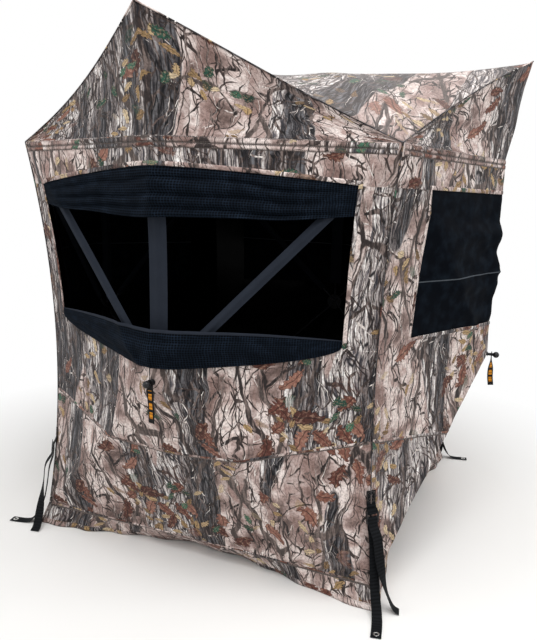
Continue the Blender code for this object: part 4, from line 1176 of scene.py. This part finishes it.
def wall_pattern(index):
    """The wall's flat pattern, cut along its seams, folds and openings."""
    size = sizes()
    columns = 2 * round(CORNER / size.cell)
    bm = bmesh.new()
    grid(bm, columns, round(PEAK_Z / size.cell), (-CORNER, CORNER), (0.0, PEAK_Z))
    window = FRONT_WINDOW if index == 0 else SIDE_WINDOW
    for z in (SEAM_Z, LOWER_SEAM_Z, HUB_Z, EAVE_Z) + WINDOW_Z:
        cut(bm, (0.0, z), (1.0, 0.0))
    for u in window:
        cut(bm, (u, 0.0), (0.0, 1.0))
    drop_faces(bm, lambda point: window[0] < point.x < window[1] and WINDOW_Z[0] < point.y < WINDOW_Z[1])
    bend_rows(bm, index)
    for sign in (-1.0, 1.0):
        for corner_z in (EAVE_Z, SEAM_Z):
            cut(bm, (0.0, HUB_Z), (sign * CORNER, corner_z - HUB_Z),
                lambda point: point.x * sign > 0 and SEAM_Z < point.y < EAVE_Z
                and (point.y - HUB_Z) * (corner_z - HUB_Z) > 0)
    drop_faces(bm, lambda point: hypot(point.x, point.y - HUB_Z) < STEM_R * 0.8)
    if SIDES[index] == "back":
        for z in DOOR_Z:
            cut(bm, (0.0, z), (1.0, 0.0))
        for sign in (-1.0, 1.0):
            low, high = (Vector((sign * door_half(z), z)) for z in DOOR_Z)
            cut(bm, low, high - low,
                lambda point: DOOR_Z[0] < point.y < DOOR_Z[1] and point.x * sign > 0)
        drop_faces(bm, lambda point: DOOR_Z[0] < point.y < DOOR_Z[1]
                   and abs(point.x) < door_half(point.y))
    return bm


class BLIND_OT_walls(Operator):
    """Four printed walls with their gables and skirts, bindings, bands and stitching"""
    bl_idname = "blind.walls"
    bl_label = "Walls"

    def execute(self, context):
        for index, side in enumerate(SIDES):
            trim, thread = self.trim(index, side)
            bm = wall_pattern(index)
            area = flat_area(bm)
            lay_print(bm, panel_shift(index))
            drape(bm, index)
            bmesh.ops.remove_doubles(bm, verts=bm.verts, dist=1e-5)
            face_out(bm, index)
            wall = piece(side + "_wall_cloth", bm, (printed_polyester, black_coating),
                         sizes().cloth)
            follow_hub(wall)
            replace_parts(wall, side + "_wall")
        return {"FINISHED"}

    def trim(self, index, side):
        """Bindings, seams and bands sewn on a wall, the stitches that hold them, and dark lines of
        painted shadow under them.
        """
        size = sizes()
        window = FRONT_WINDOW if index == 0 else SIDE_WINDOW
        edge = CORNER * SEWN_REACH
        whole = (-edge, edge)
        half = size.binding / 2
        frame_z = WINDOW_Z[0] - half, WINDOW_Z[1] + half
        frame_u = window[0] - half, window[1] + half
        cloth, thread = bmesh.new(), bmesh.new()
        # Two bands under the eave, each with two rows of stitches and a dark line of painted shadow at
        # its foot
        for below, share in BANDS:
            z, tall = EAVE_Z - size.band * below, size.band * share
            strip(cloth, level(z, whole), tall, *BAND)
            for step in (-0.36, 0.36):
                stitch_row(thread, level(z + step * tall, whole), BAND[0])
            strip(thread, level(z - tall / 2 - 0.0008, whole), *BAND_LINE)
        # Binding round the window
        sill, head = (level(z, (frame_u[0] - half, frame_u[1] + half)) for z in frame_z)
        head = [(u, z + head_rise(u, index)) for u, z in head]
        for route in (sill, head, upright(frame_u[0], frame_z), upright(frame_u[1], frame_z)):
            strip(cloth, route, size.binding, *BINDING)
            stitch_row(thread, route, STITCH_LIFT)
        # Seam below the hub, which a doorway interrupts
        stop = door_half(lower_seam(0.2)) + 1.6 * ZIP_W if side == "back" else 0.0
        for span in ((-edge, -stop), (stop, edge)) if stop else (whole,):
            seam = [(u, lower_seam(u)) for u, z in level(0.0, span)]
            strip(cloth, seam, size.seam, *LAP)
            for step in (-0.25, 0.25):
                stitch_row(thread, [(u, z + step * size.seam) for u, z in seam], STITCH_LIFT)
            # A dark line of painted shadow under the seam
            strip(thread, [(u, z - 0.65 * size.seam) for u, z in seam], *SEAM_LINE)
        # Skirt seam and hem
        strip(cloth, level(SEAM_Z, whole), size.seam, *SKIRT_LAP)
        stitch_row(thread, level(SEAM_Z + 0.001, whole), SKIRT_STITCH_LIFT)
        # A dark line of painted shadow under the skirt seam
        strip(thread, level(SEAM_Z - 0.8 * size.seam, whole), *SKIRT_LINE)
        strip(cloth, level(0.012, whole), HEM_W, *TURNED_HEM)
        stitch_row(thread, level(0.020, whole), TURNED_HEM[0])
        lay_print(cloth, lambda point: Vector((index * 3.17 + 0.9, 2.7)))
        for bm in (cloth, thread):
            drape(bm, index)
            for face in bm.faces:
                face.normal_update()
        trim = piece(side + "_wall_trim", cloth, (printed_polyester,), TRIM_THICK)
        stitches = piece(side + "_wall_stitching_and_painted_shadow", thread, (thread_and_painted_shadow,))
        return follow_hub(trim), follow_hub(stitches)


class BLIND_OT_roof(Operator):
    """Roof sheet between the four peaks, and the bound edges where walls and roof meet"""
    bl_idname = "blind.roof"
    bl_label = "Roof and bound edges"

    def execute(self, context):
        bm = bmesh.new()
        for vert in grid(bm, ROOF_CELLS, ROOF_CELLS, (-1.0, 1.0), (-1.0, 1.0)):
            vert.co = roof_point(vert.co.x, vert.co.y)
        for _ in range(5):
            bmesh.ops.smooth_vert(bm, verts=[vert for vert in bm.verts if not vert.is_boundary],
                                  factor=0.5, use_axis_x=True, use_axis_y=True, use_axis_z=True)
        lay_print(bm, lambda point: Vector((11.0, 4.0)))
        face_out(bm)
        area = flat_area(bm)
        roof = piece("roof_cloth", bm, (printed_roof, black_coating), sizes().cloth)
        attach(roof, "cover")
        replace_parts(roof, "roof_canopy")
        edges = self.bound_edges()
        return {"FINISHED"}

    def bound_edges(self):
        """Narrow bound seams up the four corners and along the eight ridges."""
        radius = sizes().piping
        foot = FOOT + SKIRT_FLARE
        lift = Vector((1.0, -1.0, 0.0)).normalized() * radius * 0.4
        corner = [corner_point(SEAM_Z + (EAVE_Z - SEAM_Z) * step / 60, 0.0) + lift for step in range(61)]
        corner.insert(0, Vector((foot, -foot, radius)) + lift)
        runs = [(corner, DIAGONAL)]
        for sign in (-1.0, 1.0):
            rim = [ridge(step / 50, sign) + Vector((0.0, -0.2, 0.5)) * radius for step in range(51)]
            runs.append((rim, Vector((0.0, -1.0, 0.3))))
        bm = bmesh.new()
        for index in range(len(SIDES)):
            turn = quarter(index).to_3x3()
            for path, across in runs:
                swept(bm, [turn @ point for point in path], lambda share: turn @ across, ring(radius, 8))
        close_holes(bm, 12)
        obj = piece("bound_edges", bm, (printed_polyester,))
        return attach(obj, "cover")


# Window cloths

def from_middle(across, limits):
    return limits[0] * (1 - 2 * across) if across < 0.5 else limits[1] * (2 * across - 1)


def hung_cloth(name, count, spot, index, finish, node, flat, soft):
    """A window cloth over the unit square, put on its wall by a function of (across, down)."""
    bm = bmesh.new()
    verts = grid(bm, count[0], count[1], (0.0, 1.0), (0.0, 1.0))
    lay_print(bm, scale=flat)
    for vert in verts:
        vert.co = spot(vert.co.x, 1 - vert.co.y)
    drape(bm, index, soft)
    face_out(bm, index)
    obj = piece(name, bm, (finish,), WINDOW_THICK)
    follow_hub(obj)
    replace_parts(obj, node)
    return obj


class BLIND_OT_window_mesh(Operator):
    """The front window's mesh, drawn up at its head, and the cloth let down over its sill"""
    bl_idname = "blind.window_mesh"
    bl_label = "Front window mesh"

    def execute(self, context):
        wide = FRONT_WINDOW[1] - FRONT_WINDOW[0]
        hung_cloth("front_window_mesh_drawn_up", (150, 80), self.drawn_up, 0, knitted_mesh,
                   "front_mesh_upper", (wide + 1.5 * PANEL_LAP, 0.19), SOFT)
        hung_cloth("front_window_mesh_let_down", (150, 60), self.let_down, 0, knitted_mesh,
                   "front_mesh_lower", (wide, 0.14), SILL_SOFT)
        hung_cloth("front_window_mesh_hem", (150, 3), self.tape, 0, sleeve_cloth,
                   "front_mesh_lower", (wide, 0.011), SILL_SOFT)
        return {"FINISHED"}

    def drawn_up(self, across, down):
        """Rolls that run from end to end and close up towards the ends."""
        u = from_middle(across, (FRONT_WINDOW[0] - PANEL_LAP / 2, FRONT_WINDOW[1] + PANEL_LAP))
        sag = 4 * across * (1 - across)
        low = WINDOW_Z[1] - MESH_DROP - MESH_SAG * sag + 0.007 * noise.noise((across * 7, 2.0, 0.5))
        top = WINDOW_Z[1] + head_rise(u, 0) + PANEL_LAP
        z = top + (low - top) * down
        free = max(0.0, (top - PANEL_LAP - z) / (top - PANEL_LAP - low))
        ends = min(1.0, 5 * min(across, 1 - across))
        drift = rough(across, free, (0.5, 3.2, 1.3, 1.0), (0.18, 9.0, 3.0, 2.0))
        roll = abs(sin(pi * (3.3 * free + 0.3 * sag + drift)))
        fine = rough(across, free, (1.0, 26.0, 7.0, 3.0), (0.5, 60.0, 16.0, 5.0))
        out = MESH_ROLL * (roll + 0.13 * fine) * min(1.0, 4 * free) * ends
        return Vector((u, z, out + over_rod(u) - BEHIND))

    def let_down(self, across, down):
        """A shallow pouch that hangs over the sill, with folds along it."""
        u = from_middle(across, FRONT_WINDOW)
        sag = 4 * across * (1 - across)
        top = WINDOW_Z[0] + SILL_RISE * (0.35 + 0.65 * sag)
        low = WINDOW_Z[0] - SILL_RISE * 0.25 - (SILL_HANG - SILL_RISE * 0.25) * sag ** 0.6
        z = top + (low - top) * down
        belly = sin(pi * min(1.0, down * 1.02)) * sqrt(sag)
        drift = rough(across, down, (0.4, 4.0, 1.5, 4.0), (0.15, 11.0, 3.0, 7.0))
        fold = 0.55 + 0.50 * abs(sin(pi * (2.2 * down + 0.4 * sag + drift)))
        fine = rough(across, down, (1.0, 24.0, 6.0, 6.0), (0.5, 60.0, 15.0, 8.0))
        out = 0.0034 + SILL_OFF * sqrt(sag) + SILL_BELLY * belly * (fold + 0.12 * fine)
        return Vector((u, z, out + POUCH * bell(u, POUCH_W)))

    def tape(self, across, down):
        """Tape sewn along the upper edge of the let-down cloth."""
        return self.let_down(across, 0.08 * down) + Vector((0.0, 0.0008, 0.0016))


class BLIND_OT_window_panels(Operator):
    """Black panels behind the three closed windows"""
    bl_idname = "blind.window_panels"
    bl_label = "Window panels"

    def execute(self, context):
        flat = SIDE_WINDOW[1] - SIDE_WINDOW[0] + 2 * PANEL_LAP, WINDOW_Z[1] - WINDOW_Z[0] + 2 * PANEL_LAP
        for index in range(1, len(SIDES)):
            self.seed = 3.0 * index
            hung_cloth(SIDES[index] + "_window_blackout", (110, 90), self.panel, index,
                       blackout_polyester, SIDES[index] + "_window_panel", flat,
                       SOFT)
        return {"FINISHED"}

    def panel(self, across, down):
        """Laid behind the window's edges, standing out in soft folds inside them."""
        u = SIDE_WINDOW[0] - PANEL_LAP + across * (SIDE_WINDOW[1] - SIDE_WINDOW[0] + 2 * PANEL_LAP)
        z = WINDOW_Z[1] + PANEL_LAP - down * (WINDOW_Z[1] - WINDOW_Z[0] + 2 * PANEL_LAP)
        calm = 1.0
        for value, (low, high) in ((u, SIDE_WINDOW), (z, WINDOW_Z)):
            share = (value - low) / (high - low)
            calm *= max(0.0, 4 * share * (1 - share))
        fold = sum(share * sin(2 * pi * (along * down + slant * across))
                   for share, along, slant in ((1.4, 3.2, 0.5), (0.8, 5.3, -1.1)))
        fine = rough(across, down, (1.0, 7.0, 8.0, self.seed), (0.5, 18.0, 20.0, self.seed))
        crease = exp(-abs(down - 0.60 + 0.05 * across * across) / 0.022)
        out = calm * (BEHIND + PANEL_FOLD * (1.0 + 0.45 * fold + 0.6 * fine + 0.9 * crease))
        return Vector((u, z, out + over_rod(u) - BEHIND))


class BLIND_OT_door(Operator):
    """Door flap in the back wall with its zip"""
    bl_idname = "blind.door"
    bl_label = "Door"

    def execute(self, context):
        index = SIDES.index("back")
        low_z, high_z = DOOR_Z[0] + DOOR_GAP, DOOR_Z[1] - DOOR_GAP
        bm = bmesh.new()
        for vert in grid(bm, 80, 44, (-1.0, 1.0), (low_z, high_z)):
            vert.co.x *= door_half(vert.co.y) - 2 * DOOR_GAP
            vert.co.z = sizes().cloth
        area = flat_area(bm)
        lay_print(bm, panel_shift(index))
        drape(bm, index)
        face_out(bm, index)
        flap = piece("back_door_flap", bm, (printed_polyester, black_coating),
                     sizes().cloth)
        flap.data.attributes.remove(flap.data.attributes["hub_share"])
        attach(flap, "back_door")
        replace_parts(flap, "back_door")
        self.zip(index)
        return {"FINISHED"}

    def zip(self, index):
        """Zip tape beside and above the flap, its coil, and a facing that shuts out daylight."""
        slope = hypot(1.0, CORNER / (HUB_Z - SEAM_Z))
        middle = (ZIP_W + ZIP_BACK) / 2 * slope
        wide = ZIP_W - ZIP_BACK
        tape, coil = bmesh.new(), bmesh.new()
        for sign in (-1.0, 1.0):
            foot, head = (Vector((sign * (door_half(z) + middle), z)) for z in DOOR_Z)
            route = [tuple(foot.lerp(head, step / 50)) for step in range(51)]
            strip(tape, route, wide, *ZIP_TAPE)
            stitch_row(coil, [(u - sign * 0.3 * ZIP_W * slope, z) for u, z in route], COIL_LIFT)
            strip(tape, [(u - sign * middle, z) for u, z in route], FACING_W, *FACING)
        reach = door_half(DOOR_Z[1]) + middle + wide / 2
        strip(tape, level(DOOR_Z[1] + ZIP_W / 2, (-reach, reach)), ZIP_W, *ZIP_TAPE)
        for z in DOOR_Z:
            reach = door_half(z) + 0.008
            strip(tape, level(z, (-reach, reach)), FACING_W, *FACING)
        lay_print(tape)
        for bm, name, finish, thick in ((tape, "back_door_zip_tape", nylon_webbing, TRIM_THICK),
                                        (coil, "back_door_zip_coil", satin_nylon, 0.0)):
            drape(bm, index)
            face_out(bm, index)
            obj = follow_hub(piece(name, bm, (finish,), thick))
            if name == "back_door_zip_tape":
                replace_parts(obj, "back_door_zip")


# Frame

def rod_route(key, count=40):
    """Points along a rod from its cross pin to its tip, in the front wall's frame."""
    u, out, z = {"top_left": (-CORNER, CORNER, EAVE_Z), "top_right": (CORNER, CORNER, EAVE_Z),
                 "peak": (0.0, PEAK_OUT, PEAK_Z)}[key]
    inward, bow = (PEAK_TIP_IN, PEAK_ROD_BOW) if key == "peak" else (TIP_IN, 0.0)
    heading = Vector((u, z - HUB_Z)).normalized()
    pivot = local(heading.x * PIVOT_R, HUB_PLANE, HUB_Z + heading.y * PIVOT_R)
    corner = local(u, out, z)
    back = (local(0.0, HUB_OUT, HUB_Z) - corner).normalized()
    tip = corner + back * TIP_SHORT + Vector((0.0, inward, 0.0))
    shares = [step / count for step in range(count + 1)]
    return [pivot.lerp(tip, share) + Vector((0.0, bow * 4 * share * (1 - share), 0.0))
            for share in shares]


class BLIND_OT_frame(Operator):
    """Rod sleeves, and finishes for the hubs and rods"""
    bl_idname = "blind.frame"
    bl_label = "Rods, sleeves and hubs"

    def execute(self, context):
        size = sizes()
        for index, side in enumerate(SIDES):
            for key, wide in (("top_left", size.sleeve_side), ("top_right", size.sleeve_side),
                              ("peak", size.sleeve_peak)):
                self.sleeve(index, side, key, wide)
        for name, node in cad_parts.items():
            finish = satin_nylon if name.endswith("_hub") else fibreglass if "_rod_" in name else None
            if finish is not None:
                for seat in node.material_slots:
                    seat.material = material(finish)
        return {"FINISHED"}

    def sleeve(self, index, side, key, wide):
        """A flat cloth sleeve that the rod fills in its middle."""
        path = rod_route(key)[3:40]
        section = []
        for aside, lift in ring(1.0, 20):
            full = SLEEVE_ROD * bell(wide / 2 * aside, 0.008) + SLEEVE_FLAT
            section.append((wide / 2 * aside, full * lift if abs(lift) > 1e-6 else 0.0))
        across = Vector((1.0, 0.0, 0.0))
        if key != "peak":
            across = (path[-1] - path[0]).cross(Vector((0.0, 1.0, 0.0)))
        bm = bmesh.new()
        swept(bm, path, lambda share: across, section)
        for vert in bm.verts:
            vert.co.y += SLEEVE_WOBBLE * noise.noise(vert.co * 9.0 + Vector((index * 3.0, 0.0, 0.0)))
        bm.transform(quarter(index))
        bmesh.ops.recalc_face_normals(bm, faces=bm.faces)
        obj = piece(f"{side}_sleeve_{key}", bm, (sleeve_cloth,), SLEEVE_THICK)
        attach(obj, f"{side}_rod_{key}")


class BLIND_OT_knobs(Operator):
    """Ball knobs with their washers, and the webbing pull tabs"""
    bl_idname = "blind.knobs"
    bl_label = "Knobs and pull tabs"

    def execute(self, context):
        for index, side in enumerate(SIDES):
            self.knob(index, side)
            self.tab(index, side)
        return {"FINISHED"}

    def knob(self, index, side):
        """Ball, neck, washer on the cloth and stem, turned about the hub's axis."""
        centre = NECK + BALL_R
        foot = HUB_PLANE - HUB_OUT
        neck = centre - sqrt(BALL_R ** 2 - STEM_R ** 2)
        profile = [(0.0, centre + BALL_R)]
        for step in range(1, 14):
            angle = pi / 2 - step * pi / 15
            radius, height = BALL_R * cos(angle), centre + BALL_R * sin(angle)
            if height > centre or radius > STEM_R + 0.001:
                profile.append((radius, height))
        profile += [(STEM_R + 0.0008, neck), (STEM_R, neck - 0.002), (STEM_R, 0.0030),
                    (WASHER_R - 0.0007, 0.0026), (WASHER_R, 0.0016), (WASHER_R, 0.0004),
                    (STEM_R, 0.0002), (STEM_R, foot), (0.0, foot)]
        bm = bmesh.new()
        seat = Matrix.Translation(local(0.0, HUB_OUT, HUB_Z)) @ Matrix.Rotation(pi / 2, 4, "X")
        turned(bm, profile, 36, seat)
        bm.transform(quarter(index))
        obj = piece(side + "_ball_knob", bm, (satin_nylon,))
        obj.data.set_sharp_from_angle(angle=radians(40))
        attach(obj, side + "_hub")
        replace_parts(obj, side + "_hub_knob")

    def tab(self, index, side):
        """A webbing tab with a round head; it hangs on the knob's neck and curls a little."""
        half = TAB_W / 2
        eye = STEM_R + 0.0006
        bm = bmesh.new()
        grid(bm, 12, 72, (-half, half), (half - TAB_LENGTH, half))
        drop_faces(bm, lambda point: hypot(point.x, point.y) < eye + 0.0006)
        for vert in bm.verts:
            out = hypot(vert.co.x, vert.co.y)
            if vert.is_boundary and out < eye + 0.003:
                vert.co *= eye / out
            elif vert.co.y > 0 and out > 1e-6:
                vert.co *= max(abs(vert.co.x), vert.co.y) / out
        lay_print(bm)
        for vert in bm.verts:
            x, y = vert.co.xy
            fall = max(0.0, -y - 0.012) / TAB_LENGTH
            curl = 0.010 * fall ** 2 + 0.0016 * sin(fall * 9) * fall + 0.0008 * (x / half) ** 2
            twist = radians(TAB_TWIST[index]) * smooth_step(fall, 0.0, 0.45)
            vert.co = local(x * cos(twist) + 0.012 * fall ** 1.5,
                            HUB_OUT + TAB_AT + TAB_THICK / 2 + curl + x * sin(twist), HUB_Z + y)
        bm.transform(quarter(index))
        bmesh.ops.recalc_face_normals(bm, faces=bm.faces)
        obj = piece(side + "_pull_tab_webbing", bm, (barred_webbing,), TAB_THICK)
        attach(obj, side + "_pull_tab")
        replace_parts(obj, side + "_pull_tab")


class BLIND_PT_panel(Panel):
    """Steps that dress the blind"""
    bl_idname = "BLIND_PT_panel"
    bl_label = "Ground blind"
    bl_space_type = "VIEW_3D"
    bl_region_type = "UI"
    bl_category = "Blind"

    def draw(self, context):
        for operator in OPERATORS:
            self.layout.operator(operator.bl_idname)
        for group in (context.scene.blind_sizes, context.scene.blind_colours):
            box = self.layout.box()
            for key in group.__annotations__:
                box.prop(group, key)


OPERATORS = (BLIND_OT_stage, BLIND_OT_straps, BLIND_OT_walls, BLIND_OT_roof, BLIND_OT_window_mesh,
             BLIND_OT_window_panels, BLIND_OT_door, BLIND_OT_frame, BLIND_OT_knobs)
CLASSES = (BlindSizes, BlindColours) + OPERATORS + (BLIND_PT_panel,)


def register():
    for cls in CLASSES:
        bpy.utils.register_class(cls)
    bpy.types.Scene.blind_sizes = PointerProperty(type=BlindSizes)
    bpy.types.Scene.blind_colours = PointerProperty(type=BlindColours)


def unregister():
    del bpy.types.Scene.blind_sizes
    del bpy.types.Scene.blind_colours
    for cls in reversed(CLASSES):
        bpy.utils.unregister_class(cls)


def main():
    register()
    for operator in OPERATORS:
        group, step = operator.bl_idname.split(".")
        getattr(getattr(bpy.ops, group), step)()
    bpy.context.view_layer.update()
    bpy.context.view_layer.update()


if __name__ == "__main__":
    main()
